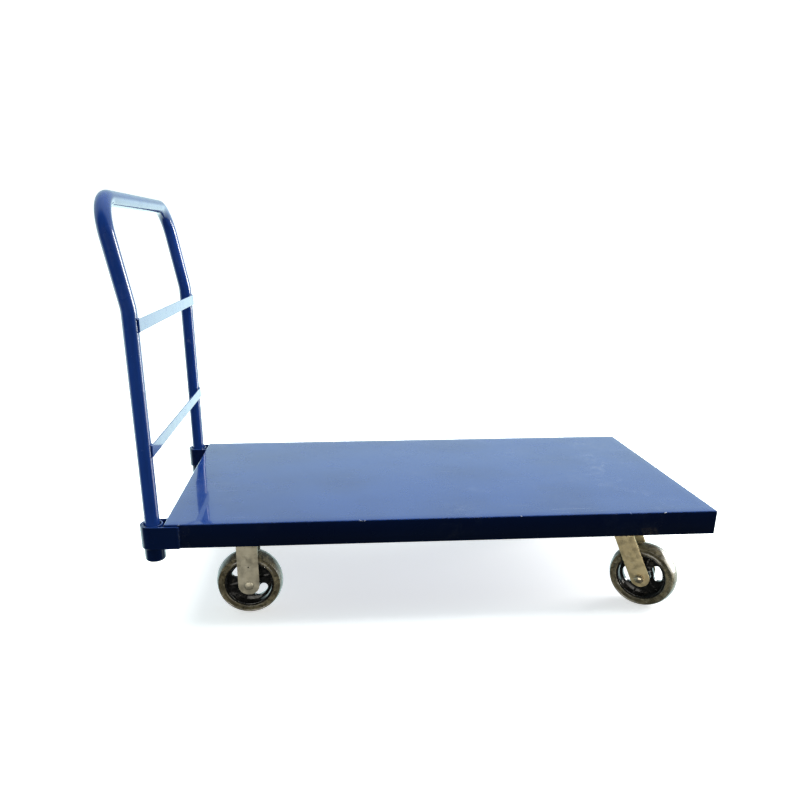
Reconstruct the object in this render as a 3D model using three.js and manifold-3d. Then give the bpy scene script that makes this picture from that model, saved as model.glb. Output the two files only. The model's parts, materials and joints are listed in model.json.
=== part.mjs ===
// Steel platform truck: a folded sheet deck on two rigid and two swivel casters, with a lift-out tube handle.
// Millimetres, +Z up. The handle stands at the -X end, and the right-hand side is -Y.
import * as THREE from "three";
import { mergeVertices } from "three/addons/utils/BufferGeometryUtils.js";
import Module from "manifold-3d";

const wasm = await Module();
wasm.setup();

const gap = 0.3; // between pieces that touch
const sides = [{ name: "right", sign: -1 }, { name: "left", sign: 1 }];

// Deck
const deckLength = 1219;
const deckWidth = 610;
const sheet = 3;
const skirtDepth = 55;
const deckCornerRadius = 4;

// Cross channels under the deck
const channelWidth = 120;
const channelDepth = 51;
const channelSheet = 3;

// Handle
const tubeRadius = 15.9;
const tubeWall = 2;
const handleHeight = 652; // centre of the top bar above the deck
const leanHeight = 447; // where the uprights start to lean back, above the deck
const leanAngle = THREE.MathUtils.degToRad(10.2);
const leanBendRadius = 120;
const cornerRadius = 72;
const crossbarHeights = { lower: 159, upper: 416 }; // centre lines above the deck
const crossbarDepth = 25.4;
const crossbarSheet = 3;
const crossbarLap = 5; // past the centre line of each upright

// Handle sockets
const sleeveClearance = 3.3; // round the tube
const sleeveWall = 3;
const sleeveLength = 82;
const sleeveDrop = 4; // rim below the deck's top face
const sleeveFloor = 4;
const sleeveDrainRadius = 9;
const sleeveStandOff = 5.5; // between the sleeve and the deck's end skirt
const strapSheet = 4;
const strapDepth = 51;
const strapLap = 30; // of the outer leg along the side skirt

// Casters
const casterInsetX = 165;
const casterInsetY = 84;
const plateLength = 114; // across the cart
const plateWidth = 102;
const plateSheet = 6;
const boltSpacingX = 67;
const boltSpacingY = 92;
const boltRadius = 4.8;
const boltHeadFlats = 14.3;
const boltHeadHeight = 6.3;
const boltNutHeight = 8;
const boltTail = 3;
const trail = 48;
const swivelAngles = { right: -37.7, left: 155 }; // where each wheel trails, in degrees from +X
const raceRadius = 36;
const raceHeight = 14;
const kingpinRadius = 6.4;
const kingpinHeadRadius = 12.5;
const kingpinHeadHeight = 4;
const kingpinNutFlats = 22;
const kingpinNutHeight = 9;
const forkSheet = 4;
const wheelSideClearance = 3; // to each leg
const wheelTopClearance = 22.4; // to the swivel fork's crown
const rigidLegWidth = 48;
const swivelLegWidth = 44;
const legTipRadius = 22.5; // below the axle

// Wheels
const wheelRadius = 76.2;
const tyreWidth = 48;
const tyreDepth = 20.2;
const treadCrown = 5.7; // fall of the tread from its middle to the side face
const rimSheet = 5;
const rimInset = 2; // of the rim's edges from the tyre's faces
const webSheet = 8;
const hubRadius = 22;
const hubClearance = 2; // to each leg
const windowCount = 2;
const windowInnerRadius = 26;
const windowRimMargin = 5.7; // between a window and the rim
const windowSpan = THREE.MathUtils.degToRad(62);
const windowMiddles = { rigid: 45, swivel: -15 }; // in degrees below the way the wheel trails
const axleRadius = 6.3;
const bushingWall = 3;
const bearingWall = 5;
const bearingInset = 2; // from each end of the hub
const axleHeadFlats = 19;
const axleHeadHeight = 7.5;
const axleTail = 4;
const rivetHeadRadius = 11;
const rivetHeadHeight = 3.5;

// Widths and radii that follow from the above
const sleeveRadius = tubeRadius + sleeveClearance + sleeveWall;
const forkGap = tyreWidth + 2 * wheelSideClearance; // between the legs
const hubWidth = forkGap - 2 * hubClearance;
const bearingLength = hubWidth - 2 * bearingInset;
const rimWidth = tyreWidth - 2 * rimInset;
const tyreInnerRadius = wheelRadius - tyreDepth;
const rimOuter = tyreInnerRadius - gap;
const rimInner = rimOuter - rimSheet;
const windowOuterRadius = rimInner - windowRimMargin;

// Heights above the floor that follow from the above
const crownTop = 2 * wheelRadius + wheelTopClearance + forkSheet;
const raceBottom = crownTop + gap;
const plateBottom = raceBottom + raceHeight + gap;
const plateTop = plateBottom + plateSheet;
const deckUnderside = plateTop + gap + channelDepth + gap;
const deckHeight = deckUnderside + sheet; // top face
const sleeveTop = deckHeight - sleeveDrop;
const sleeveBottom = sleeveTop - sleeveLength;
const uprightBottom = sleeveBottom + sleeveFloor + gap;

// Places along and across the cart that follow from the above
const uprightX = -deckLength / 2 - sleeveStandOff - sleeveRadius;
const uprightY = deckWidth / 2 - sleeveRadius;
const casterX = deckLength / 2 - casterInsetX;
const casterY = deckWidth / 2 - casterInsetY;

const bluePaint = new THREE.MeshStandardMaterial({ color: 0x1c3a86, roughness: 0.3, metalness: 0.1 });
const zincPlate = new THREE.MeshStandardMaterial({ color: 0x9a8d68, roughness: 0.45, metalness: 0.85 });
const brightSteel = new THREE.MeshStandardMaterial({ color: 0xb9b7ad, roughness: 0.3, metalness: 0.95 });
const blackCore = new THREE.MeshStandardMaterial({ color: 0x111110, roughness: 0.5, metalness: 0.1 });
const rubber = new THREE.MeshStandardMaterial({ color: 0x24231d, roughness: 0.7, metalness: 0 });

// A closed geometry as a solid that can be joined and cut.
function solid(geometry, matrix) {
  const placed = geometry.clone();
  if (matrix) placed.applyMatrix4(matrix);
  for (const name of Object.keys(placed.attributes)) {
    if (name !== "position") placed.deleteAttribute(name);
  }
  const merged = mergeVertices(placed, 1e-4);
  const vertProperties = new Float32Array(merged.attributes.position.array);
  const triVerts = new Uint32Array(merged.index.array);
  return new wasm.Manifold(new wasm.Mesh({ numProp: 3, vertProperties, triVerts }));
}

function geometryOf(body) {
  const mesh = body.getMesh();
  const geometry = new THREE.BufferGeometry();
  const count = mesh.vertProperties.length / mesh.numProp;
  const positions = new Float32Array(count * 3);
  for (let i = 0; i < count; i++) {
    for (let k = 0; k < 3; k++) positions[3 * i + k] = mesh.vertProperties[mesh.numProp * i + k];
  }
  geometry.setAttribute("position", new THREE.BufferAttribute(positions, 3));
  geometry.setIndex(new THREE.BufferAttribute(new Uint32Array(mesh.triVerts), 1));
  geometry.computeVertexNormals();
  return geometry;
}

function piece(name, geometry, material) {
  const mesh = new THREE.Mesh(geometry, material);
  mesh.name = name;
  return mesh;
}

function at(x, y, z) {
  return new THREE.Matrix4().makeTranslation(x, y, z);
}

// A box from its lowest corner to its highest.
function block(low, high) {
  const size = high.map((value, i) => value - low[i]);
  const centre = high.map((value, i) => (value + low[i]) / 2);
  return solid(new THREE.BoxGeometry(...size), at(...centre));
}

// An upright cylinder or prism; the corner count also makes hexagons.
function post(radius, bottom, top, corners, x = 0, y = 0) {
  const geometry = new THREE.CylinderGeometry(radius, radius, top - bottom, corners);
  geometry.rotateX(Math.PI / 2);
  return solid(geometry, at(x, y, (top + bottom) / 2));
}

function hexagon(acrossFlats, bottom, top) {
  return post(acrossFlats / Math.sqrt(3), bottom, top, 6);
}

// A solid of revolution about Z from [radius, height] points, closed on itself unless it starts on the axis.
function turned(profile, segments) {
  const outline = profile[0][0] === 0 ? profile : [...profile, profile[0]];
  const points = outline.map(([radius, height]) => new THREE.Vector2(radius, height));
  const geometry = new THREE.LatheGeometry(points, segments);
  geometry.rotateX(Math.PI / 2);
  const body = solid(geometry);
  return body.volume() > 0 ? body : solid(flipped(geometry));
}

function flipped(geometry) {
  const copy = geometry.clone();
  const index = copy.index.array;
  for (let i = 0; i < index.length; i += 3) [index[i], index[i + 1]] = [index[i + 1], index[i]];
  return copy;
}

function ring(innerRadius, outerRadius, bottom, top, segments) {
  const profile = [[innerRadius, bottom], [outerRadius, bottom], [outerRadius, top], [innerRadius, top]];
  return turned(profile, segments);
}

// A plate from an outline drawn in X and Z, with its thickness along Y.
function sideways(shape, lowY, highY, curveSegments = 10) {
  const depth = highY - lowY;
  const geometry = new THREE.ExtrudeGeometry(shape, { depth, bevelEnabled: false, curveSegments });
  geometry.rotateX(Math.PI / 2);
  geometry.translate(0, highY, 0);
  return solid(geometry);
}

// The deck: a flat top with a skirt folded down on each side and welded corners.
function deckPan() {
  const halfX = deckLength / 2;
  const halfY = deckWidth / 2;
  const r = deckCornerRadius;
  const outline = new THREE.Shape();
  outline.moveTo(-halfX + r, -halfY);
  outline.absarc(halfX - r, -halfY + r, r, -Math.PI / 2, 0);
  outline.absarc(halfX - r, halfY - r, r, 0, Math.PI / 2);
  outline.absarc(-halfX + r, halfY - r, r, Math.PI / 2, Math.PI);
  outline.absarc(-halfX + r, -halfY + r, r, Math.PI, 1.5 * Math.PI);
  const settings = { depth: skirtDepth, bevelEnabled: false, curveSegments: 4 };
  const geometry = new THREE.ExtrudeGeometry(outline, settings);
  const skirtBottom = deckHeight - skirtDepth;
  const hollow = block(
    [-halfX + sheet, -halfY + sheet, skirtBottom - sheet],
    [halfX - sheet, halfY - sheet, deckUnderside],
  );
  return solid(geometry, at(0, 0, skirtBottom)).subtract(hollow);
}

function boltPlaces(centreX, centreY) {
  const places = [];
  for (const dx of [-boltSpacingX / 2, boltSpacingX / 2]) {
    for (const dy of [-boltSpacingY / 2, boltSpacingY / 2]) places.push([centreX + dx, centreY + dy]);
  }
  return places;
}

// A cross channel, open upwards, that closes against the deck and carries a caster near each end.
function crossChannel(centreX, carriesCasters) {
  const halfY = deckWidth / 2 - sheet - gap;
  const top = deckUnderside - gap;
  const bottom = top - channelDepth;
  const half = channelWidth / 2;
  const inner = half - channelSheet;
  const body = block([centreX - half, -halfY, bottom], [centreX + half, halfY, top]);
  const troughLow = [centreX - inner, -halfY - sheet, bottom + channelSheet];
  const trough = block(troughLow, [centreX + inner, halfY + sheet, top + sheet]);
  let channel = body.subtract(trough);
  if (!carriesCasters) return channel;
  for (const { sign } of sides) {
    for (const [x, y] of boltPlaces(centreX, sign * casterY)) {
      const hole = post(boltRadius + gap, bottom - sheet, bottom + channelSheet + sheet, 12, x, y);
      channel = channel.subtract(hole);
    }
  }
  return channel;
}

// A handle socket: an open tube with a drained floor that the upright stands on.
function socketSleeve(sign) {
  const innerRadius = sleeveRadius - sleeveWall;
  const floorTop = sleeveBottom + sleeveFloor;
  const profile = [
    [sleeveDrainRadius, sleeveBottom],
    [sleeveRadius, sleeveBottom],
    [sleeveRadius, sleeveTop],
    [innerRadius, sleeveTop],
    [innerRadius, floorTop],
    [sleeveDrainRadius, floorTop],
  ];
  return turned(profile, 32).translate([uprightX, sign * uprightY, 0]);
}

// The strap that holds the sleeve: it laps the side skirt, rounds the sleeve and comes back to the end skirt.
function socketStrap(sign) {
  const inner = sleeveRadius + gap;
  const outer = inner + strapSheet;
  const endSkirt = sleeveRadius + sleeveStandOff - gap;
  const lapEnd = sleeveRadius + sleeveStandOff + strapLap;
  const outline = new THREE.Shape();
  outline.moveTo(lapEnd, -outer);
  outline.lineTo(lapEnd, -inner);
  outline.lineTo(0, -inner);
  outline.absarc(0, 0, inner, -Math.PI / 2, -1.5 * Math.PI, true);
  outline.lineTo(endSkirt, inner);
  outline.lineTo(endSkirt, outer);
  outline.lineTo(0, outer);
  outline.absarc(0, 0, outer, Math.PI / 2, 1.5 * Math.PI);
  const settings = { depth: strapDepth, bevelEnabled: false, curveSegments: 10 };
  const geometry = new THREE.ExtrudeGeometry(outline, settings);
  const strap = solid(geometry, at(0, 0, sleeveTop - strapDepth));
  const turnedOver = sign > 0 ? strap.mirror([0, 1, 0]) : strap;
  return turnedOver.translate([uprightX, sign * uprightY, 0]);
}

// A path through given stations, so that only the bends are finely divided.
class StationPath extends THREE.Curve {
  constructor(points, tangents) {
    super();
    this.points = points;
    this.tangents = tangents;
  }
  station(u) {
    return Math.round(u * (this.points.length - 1));
  }
  getPoint(t, target = new THREE.Vector3()) {
    return target.copy(this.points[this.station(t)]);
  }
  getPointAt(u, target = new THREE.Vector3()) {
    return this.getPoint(u, target);
  }
  getTangentAt(u, target = new THREE.Vector3()) {
    return target.copy(this.tangents[this.station(u)]);
  }
}

// The handle's centre line from the right foot, over the top bar, to the left foot.
function handlePath() {
  const leanSteps = 4;
  const cornerSteps = 8;
  const backward = new THREE.Vector3(-Math.sin(leanAngle), 0, Math.cos(leanAngle));
  const upward = new THREE.Vector3(0, 0, 1);
  const across = new THREE.Vector3(0, 1, 0);
  const leanReach = leanBendRadius * Math.tan(leanAngle / 2);
  const leanLength = (handleHeight - leanHeight) / Math.cos(leanAngle);
  const right = [];
  const add = (point, tangent) => right.push({ point, tangent });
  const foot = new THREE.Vector3(uprightX, -uprightY, uprightBottom);
  const bend = new THREE.Vector3(uprightX, -uprightY, deckHeight + leanHeight);
  add(foot, upward.clone());
  for (let i = 0; i <= leanSteps; i++) {
    const angle = (leanAngle * i) / leanSteps;
    const point = bend.clone();
    point.x -= leanBendRadius * (1 - Math.cos(angle));
    point.z += leanBendRadius * Math.sin(angle) - leanReach;
    add(point, new THREE.Vector3(-Math.sin(angle), 0, Math.cos(angle)));
  }
  for (let i = 0; i <= cornerSteps; i++) {
    const angle = ((Math.PI / 2) * i) / cornerSteps;
    const along = leanLength - cornerRadius + cornerRadius * Math.sin(angle);
    const inward = cornerRadius * (1 - Math.cos(angle));
    const point = bend.clone().addScaledVector(backward, along).addScaledVector(across, inward);
    const tangent = backward.clone().multiplyScalar(Math.cos(angle)).addScaledVector(across, Math.sin(angle));
    add(point, tangent);
  }
  const mirrored = [...right].reverse().map(({ point, tangent }) => ({
    point: new THREE.Vector3(point.x, -point.y, point.z),
    tangent: new THREE.Vector3(-tangent.x, tangent.y, -tangent.z),
  }));
  const stations = [...right, ...mirrored];
  return new StationPath(stations.map((s) => s.point), stations.map((s) => s.tangent));
}

function handleTube() {
  const section = new THREE.Shape();
  section.absarc(0, 0, tubeRadius, 0, 2 * Math.PI);
  const bore = new THREE.Path();
  bore.absarc(0, 0, tubeRadius - tubeWall, 0, 2 * Math.PI);
  section.holes.push(bore);
  const extrudePath = handlePath();
  const steps = extrudePath.points.length - 1;
  const settings = { extrudePath, steps, bevelEnabled: false, curveSegments: 10 };
  return solid(new THREE.ExtrudeGeometry(section, settings));
}

// A flat bar welded across the deck side of both uprights.
function crossbar(centreHeight) {
  const face = uprightX + tubeRadius + gap;
  const halfY = uprightY + crossbarLap;
  const middle = deckHeight + centreHeight;
  return block(
    [face, -halfY, middle - crossbarDepth / 2],
    [face + crossbarSheet, halfY, middle + crossbarDepth / 2],
  );
}

// Caster pieces are drawn at the origin: the caster's vertical axis is Z and the floor is at zero.

function casterPlate() {
  const half = [plateWidth / 2, plateLength / 2];
  let plate = block([-half[0], -half[1], plateBottom], [half[0], half[1], plateTop]);
  for (const [x, y] of boltPlaces(0, 0)) {
    plate = plate.subtract(post(boltRadius + gap, plateBottom - 1, plateTop + 1, 12, x, y));
  }
  return plate;
}

function plateBolt() {
  const headTop = plateBottom - gap;
  const nutBottom = plateTop + gap + channelSheet + gap;
  const nutTop = nutBottom + boltNutHeight;
  const head = hexagon(boltHeadFlats, headTop - boltHeadHeight, headTop);
  const shank = post(boltRadius, headTop - boltHeadHeight / 2, nutTop + boltTail, 12);
  return head.add(shank).add(hexagon(boltHeadFlats, nutBottom, nutTop));
}

function axleBore() {
  const geometry = new THREE.CylinderGeometry(axleRadius + gap, axleRadius + gap, 2 * forkGap, 16);
  return solid(geometry);
}

// The rigid fork: plate and two upright legs with round ends, as one pressing.
function rigidFork() {
  const half = rigidLegWidth / 2;
  const leg = new THREE.Shape();
  leg.moveTo(-half, plateTop - plateSheet / 2);
  leg.lineTo(-half, wheelRadius);
  leg.absellipse(0, wheelRadius, half, legTipRadius, Math.PI, 2 * Math.PI);
  leg.lineTo(half, plateTop - plateSheet / 2);
  const inner = forkGap / 2;
  const outer = inner + forkSheet;
  return casterPlate()
    .add(sideways(leg, inner, outer))
    .add(sideways(leg, -outer, -inner))
    .subtract(axleBore().translate([0, 0, wheelRadius]));
}

// The swivel plate, with a sunk seat for the kingpin's head.
function swivelPlate() {
  const seat = post(kingpinHeadRadius + gap, plateTop - kingpinHeadHeight - gap, plateTop + 1, 24);
  const bore = post(kingpinRadius + gap, plateBottom - 1, plateTop + 1, 16);
  return casterPlate().subtract(seat).subtract(bore);
}

// The ball race under the plate, with its dust lip.
function ballRace() {
  const lip = raceHeight / 3;
  const bore = kingpinRadius + gap;
  const neck = raceRadius - lip;
  const top = raceBottom + raceHeight;
  return turned([
    [bore, raceBottom],
    [raceRadius, raceBottom],
    [raceRadius, raceBottom + lip],
    [neck, raceBottom + 2 * lip],
    [neck, top],
    [bore, top],
  ], 32);
}

function kingpin() {
  const head = post(kingpinHeadRadius, plateTop - kingpinHeadHeight, plateTop - gap, 24);
  const nutTop = crownTop - forkSheet - gap;
  const nut = hexagon(kingpinNutFlats, nutTop - kingpinNutHeight, nutTop);
  const shank = post(kingpinRadius, nutTop - kingpinNutHeight / 2, plateTop - kingpinHeadHeight / 2, 16);
  return head.add(shank).add(nut);
}

// The swivel fork trails along +X: a round crown and two raked legs.
function swivelFork() {
  const crownBottom = crownTop - forkSheet;
  const rise = crownBottom + forkSheet / 2 - wheelRadius;
  const rake = Math.atan2(trail, rise);
  const half = swivelLegWidth / 2;
  const level = half / Math.cos(rake);
  const leg = new THREE.Shape();
  leg.absarc(trail, wheelRadius, half, Math.PI + rake, 2 * Math.PI + rake);
  leg.lineTo(level, wheelRadius + rise);
  leg.lineTo(-level, wheelRadius + rise);
  const inner = forkGap / 2;
  const outer = inner + forkSheet;
  const crown = block([-level, -outer, crownBottom], [level, outer, crownTop]);
  const disc = post(raceRadius, crownBottom, crownTop, 32);
  const bore = post(kingpinRadius + gap, crownBottom - 1, crownTop + 1, 16);
  return crown
    .add(disc)
    .add(sideways(leg, inner, outer))
    .add(sideways(leg, -outer, -inner))
    .subtract(bore)
    .subtract(axleBore().translate([trail, 0, wheelRadius]));
}

// Wheel pieces are drawn about Z, centred, and turned to roll along X.

function tyre() {
  const half = tyreWidth / 2;
  const crownRadius = (half * half + treadCrown * treadCrown) / (2 * treadCrown);
  const steps = 3; // from the middle of the tread to each side
  const profile = [[tyreInnerRadius, -half]];
  for (let i = -steps; i <= steps; i++) {
    const height = (half * i) / steps;
    profile.push([wheelRadius - crownRadius + Math.sqrt(crownRadius ** 2 - height ** 2), height]);
  }
  profile.push([tyreInnerRadius, half]);
  return turned(profile, 44);
}

function kidneyWindow(startAngle) {
  const middle = (windowInnerRadius + windowOuterRadius) / 2;
  const end = (windowOuterRadius - windowInnerRadius) / 2;
  const inset = end / middle;
  const from = startAngle + inset;
  const to = startAngle + windowSpan - inset;
  const round = (angle) => [middle * Math.cos(angle), middle * Math.sin(angle)];
  const outline = new THREE.Shape();
  outline.absarc(0, 0, windowOuterRadius, from, to);
  outline.absarc(...round(to), end, to, to + Math.PI);
  outline.absarc(0, 0, windowInnerRadius, to, from, true);
  outline.absarc(...round(from), end, from + Math.PI, from + 2 * Math.PI);
  const settings = { depth: 2 * webSheet, bevelEnabled: false, curveSegments: 3 };
  const geometry = new THREE.ExtrudeGeometry(outline, settings);
  return solid(geometry, at(0, 0, -webSheet));
}

// The wheel's centre: rim, web with kidney windows, and hub.
function wheelCore(kind) {
  const hubBore = axleRadius + 3 * gap + bushingWall + bearingWall;
  const web = webSheet / 2;
  const rim = rimWidth / 2;
  const hub = hubWidth / 2;
  let core = turned([
    [hubBore, -hub],
    [hubRadius, -hub],
    [hubRadius, -web],
    [rimInner, -web],
    [rimInner, -rim],
    [rimOuter, -rim],
    [rimOuter, rim],
    [rimInner, rim],
    [rimInner, web],
    [hubRadius, web],
    [hubRadius, hub],
    [hubBore, hub],
  ], 32);
  const firstWindow = THREE.MathUtils.degToRad(windowMiddles[kind]) - windowSpan / 2;
  for (let i = 0; i < windowCount; i++) {
    core = core.subtract(kidneyWindow(firstWindow + (i * 2 * Math.PI) / windowCount));
  }
  return core;
}

function bearing() {
  const inner = axleRadius + 2 * gap + bushingWall;
  return ring(inner, inner + bearingWall, -bearingLength / 2, bearingLength / 2, 16);
}

function bushing() {
  const inner = axleRadius + gap;
  const half = forkGap / 2 - gap;
  return ring(inner, inner + bushingWall, -half, half, 16);
}

// A riveted axle with a low round head on each side.
function axleRivet() {
  const face = forkGap / 2 + forkSheet + gap;
  const head = face + rivetHeadHeight;
  const edge = rivetHeadRadius - rivetHeadHeight;
  return turned([
    [0, -head],
    [edge, -head],
    [rivetHeadRadius, -face],
    [axleRadius, -face],
    [axleRadius, face],
    [rivetHeadRadius, face],
    [edge, head],
    [0, head],
  ], 20);
}

function axleBolt() {
  const face = forkGap / 2 + forkSheet + gap;
  const end = face + gap + axleHeadHeight + axleTail;
  const shank = post(axleRadius, -end, face + axleHeadHeight / 2, 16);
  return hexagon(axleHeadFlats, face, face + axleHeadHeight).add(shank);
}

function axleNut() {
  const face = forkGap / 2 + forkSheet + gap;
  const nut = hexagon(axleHeadFlats, -face - axleHeadHeight, -face);
  return nut.subtract(post(axleRadius + gap, -face - 2 * axleHeadHeight, 0, 16));
}

// One wheel and what it turns on, rolling along X with its axle along Y.
function wheelGroup(kind, side, x, axlePieces) {
  const caster = `${kind}_${side}`;
  const group = new THREE.Group();
  group.position.set(x, 0, wheelRadius);
  group.rotation.x = -Math.PI / 2;
  group.add(piece(`tyre_${caster}`, geometryOf(tyre()), rubber));
  group.add(piece(`wheel_core_${caster}`, geometryOf(wheelCore(kind)), blackCore));
  group.add(piece(`wheel_bearing_${caster}`, geometryOf(bearing()), brightSteel));
  group.add(piece(`axle_bushing_${caster}`, geometryOf(bushing()), brightSteel));
  for (const [name, body] of axlePieces) group.add(piece(`${name}_${caster}`, geometryOf(body), brightSteel));
  return group;
}

function plateBolts(caster) {
  return boltPlaces(0, 0).map(([x, y], i) => {
    const bolt = piece(`plate_bolt_${caster}_${i + 1}`, geometryOf(plateBolt()), brightSteel);
    bolt.position.set(x, y, 0);
    return bolt;
  });
}

function rigidCaster(side) {
  const caster = `rigid_${side}`;
  const group = new THREE.Group();
  group.add(piece(`fork_${caster}`, geometryOf(rigidFork()), zincPlate));
  group.add(...plateBolts(caster));
  group.add(wheelGroup("rigid", side, 0, [["axle_rivet", axleRivet()]]));
  return group;
}

function swivelCaster(side) {
  const caster = `swivel_${side}`;
  const group = new THREE.Group();
  group.add(piece(`top_plate_${caster}`, geometryOf(swivelPlate()), zincPlate));
  group.add(piece(`ball_race_${caster}`, geometryOf(ballRace()), zincPlate));
  group.add(piece(`kingpin_${caster}`, geometryOf(kingpin()), brightSteel));
  group.add(...plateBolts(caster));
  const turning = new THREE.Group();
  turning.rotation.z = THREE.MathUtils.degToRad(swivelAngles[side]);
  turning.add(piece(`fork_${caster}`, geometryOf(swivelFork()), zincPlate));
  turning.add(wheelGroup("swivel", side, trail, [["axle_bolt", axleBolt()], ["axle_nut", axleNut()]]));
  group.add(turning);
  return group;
}

const cart = new THREE.Group();
cart.add(piece("deck_pan", geometryOf(deckPan()), bluePaint));
const channels = [
  { name: "handle_end", x: -casterX, carriesCasters: true },
  { name: "middle", x: 0, carriesCasters: false },
  { name: "swivel_end", x: casterX, carriesCasters: true },
];
for (const { name, x, carriesCasters } of channels) {
  cart.add(piece(`cross_channel_${name}`, geometryOf(crossChannel(x, carriesCasters)), bluePaint));
}
for (const { name, sign } of sides) {
  cart.add(piece(`socket_sleeve_${name}`, geometryOf(socketSleeve(sign)), bluePaint));
  cart.add(piece(`socket_strap_${name}`, geometryOf(socketStrap(sign)), bluePaint));
}
cart.add(piece("handle_tube", geometryOf(handleTube()), bluePaint));
for (const [name, height] of Object.entries(crossbarHeights)) {
  cart.add(piece(`crossbar_${name}`, geometryOf(crossbar(height)), bluePaint));
}
for (const { name, sign } of sides) {
  const rigid = rigidCaster(name);
  rigid.position.set(-casterX, sign * casterY, 0);
  const swivel = swivelCaster(name);
  swivel.position.set(casterX, sign * casterY, 0);
  cart.add(rigid, swivel);
}

// The origin is on the floor, under the middle of the cart's box.
const bounds = new THREE.Box3().setFromObject(cart, true);
const group = new THREE.Group();
cart.position.set(-(bounds.min.x + bounds.max.x) / 2, -(bounds.min.y + bounds.max.y) / 2, -bounds.min.z);
group.add(cart);

export default group;
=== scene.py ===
import json
import math

import bmesh
import bpy
from mathutils import Matrix, Vector, noise
from mathutils.geometry import tessellate_polygon

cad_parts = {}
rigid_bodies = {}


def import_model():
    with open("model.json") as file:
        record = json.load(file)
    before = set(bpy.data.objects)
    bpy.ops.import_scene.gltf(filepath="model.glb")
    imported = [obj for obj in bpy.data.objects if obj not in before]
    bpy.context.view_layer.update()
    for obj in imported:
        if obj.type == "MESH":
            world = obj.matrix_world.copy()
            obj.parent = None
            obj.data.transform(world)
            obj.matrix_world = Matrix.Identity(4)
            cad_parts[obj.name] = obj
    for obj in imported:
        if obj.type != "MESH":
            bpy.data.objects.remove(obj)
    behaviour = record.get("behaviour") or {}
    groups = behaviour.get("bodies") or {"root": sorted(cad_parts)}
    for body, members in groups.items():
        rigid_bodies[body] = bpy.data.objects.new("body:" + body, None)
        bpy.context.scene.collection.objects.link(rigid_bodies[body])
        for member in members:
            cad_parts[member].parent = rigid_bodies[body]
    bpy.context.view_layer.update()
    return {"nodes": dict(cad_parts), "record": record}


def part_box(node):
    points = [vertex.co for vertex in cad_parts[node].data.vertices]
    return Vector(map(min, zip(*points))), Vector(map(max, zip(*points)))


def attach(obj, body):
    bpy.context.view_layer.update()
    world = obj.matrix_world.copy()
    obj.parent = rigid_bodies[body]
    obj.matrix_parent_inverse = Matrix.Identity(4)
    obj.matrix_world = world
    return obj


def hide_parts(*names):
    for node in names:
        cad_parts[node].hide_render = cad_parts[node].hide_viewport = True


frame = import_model()
joints = {joint["name"]: joint for joint in frame["record"]["behaviour"]["joints"]}
sides = ("right", "left")  # as seen by a person pushing: right is towards -Y
print("frame loaded:", len(frame["nodes"]), "nodes")


def boxOf(node):
    return tuple(Vector(corner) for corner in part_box(node))


def addNode(tree, kind, place=(0, 0), **settings):
    node = tree.nodes.new(kind)
    node.location = place
    for name, value in settings.items():
        setattr(node, name, value)
    return node


def join(tree, source, target):
    tree.links.new(source, target)


def newMaterial(name):
    material = bpy.data.materials.new(name)
    material.use_nodes = True
    tree = material.node_tree
    shader = tree.nodes["Principled BSDF"]
    position = addNode(tree, "ShaderNodeTexCoord", (-1400, 0)).outputs["Object"]
    return material, tree, shader, position


def noiseAt(tree, position, scale, detail=3, stretch=None, turn=(0, 0, 0), distortion=0.0):
    # fractal noise on object coordinates; stretch squeezes it along each axis
    if stretch:
        mapping = addNode(tree, "ShaderNodeMapping")
        mapping.inputs["Scale"].default_value = stretch
        mapping.inputs["Rotation"].default_value = turn
        join(tree, position, mapping.inputs["Vector"])
        position = mapping.outputs["Vector"]
    node = addNode(tree, "ShaderNodeTexNoise")
    node.inputs["Scale"].default_value = scale
    node.inputs["Detail"].default_value = detail
    node.inputs["Distortion"].default_value = distortion
    join(tree, position, node.inputs["Vector"])
    return node.outputs["Fac"]


def ramp(tree, value, low, high, fromValue=0.0, toValue=1.0):
    node = addNode(tree, "ShaderNodeMapRange", interpolation_type="SMOOTHSTEP")
    node.inputs["From Min"].default_value = low
    node.inputs["From Max"].default_value = high
    node.inputs["To Min"].default_value = fromValue
    node.inputs["To Max"].default_value = toValue
    join(tree, value, node.inputs["Value"])
    return node.outputs["Result"]


def combine(tree, operation, first, second):
    node = addNode(tree, "ShaderNodeMath", operation=operation, use_clamp=True)
    for i, value in enumerate((first, second)):
        if isinstance(value, (int, float)):
            node.inputs[i].default_value = value
        else:
            join(tree, value, node.inputs[i])
    return node.outputs[0]


def blendColour(tree, amount, first, second):
    node = addNode(tree, "ShaderNodeMix", data_type="RGBA")
    join(tree, amount, node.inputs["Factor"])
    for name, value in (("A", first), ("B", second)):
        socket = next(s for s in node.inputs if s.name == name and s.type == "RGBA")
        if isinstance(value, tuple):
            socket.default_value = (*value, 1.0)
        else:
            join(tree, value, socket)
    return next(s for s in node.outputs if s.type == "RGBA")


def addBump(tree, shader, layers, distance):
    # layers are (height, strength), each laid over the one before
    normal = None
    for height, strength in layers:
        bump = addNode(tree, "ShaderNodeBump")
        bump.inputs["Strength"].default_value = strength
        bump.inputs["Distance"].default_value = distance
        join(tree, height, bump.inputs["Height"])
        if normal:
            join(tree, normal, bump.inputs["Normal"])
        normal = bump.outputs["Normal"]
    join(tree, normal, shader.inputs["Normal"])


def axisOf(tree, position, axis):
    node = addNode(tree, "ShaderNodeSeparateXYZ")
    join(tree, position, node.inputs[0])
    return node.outputs[axis]


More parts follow.
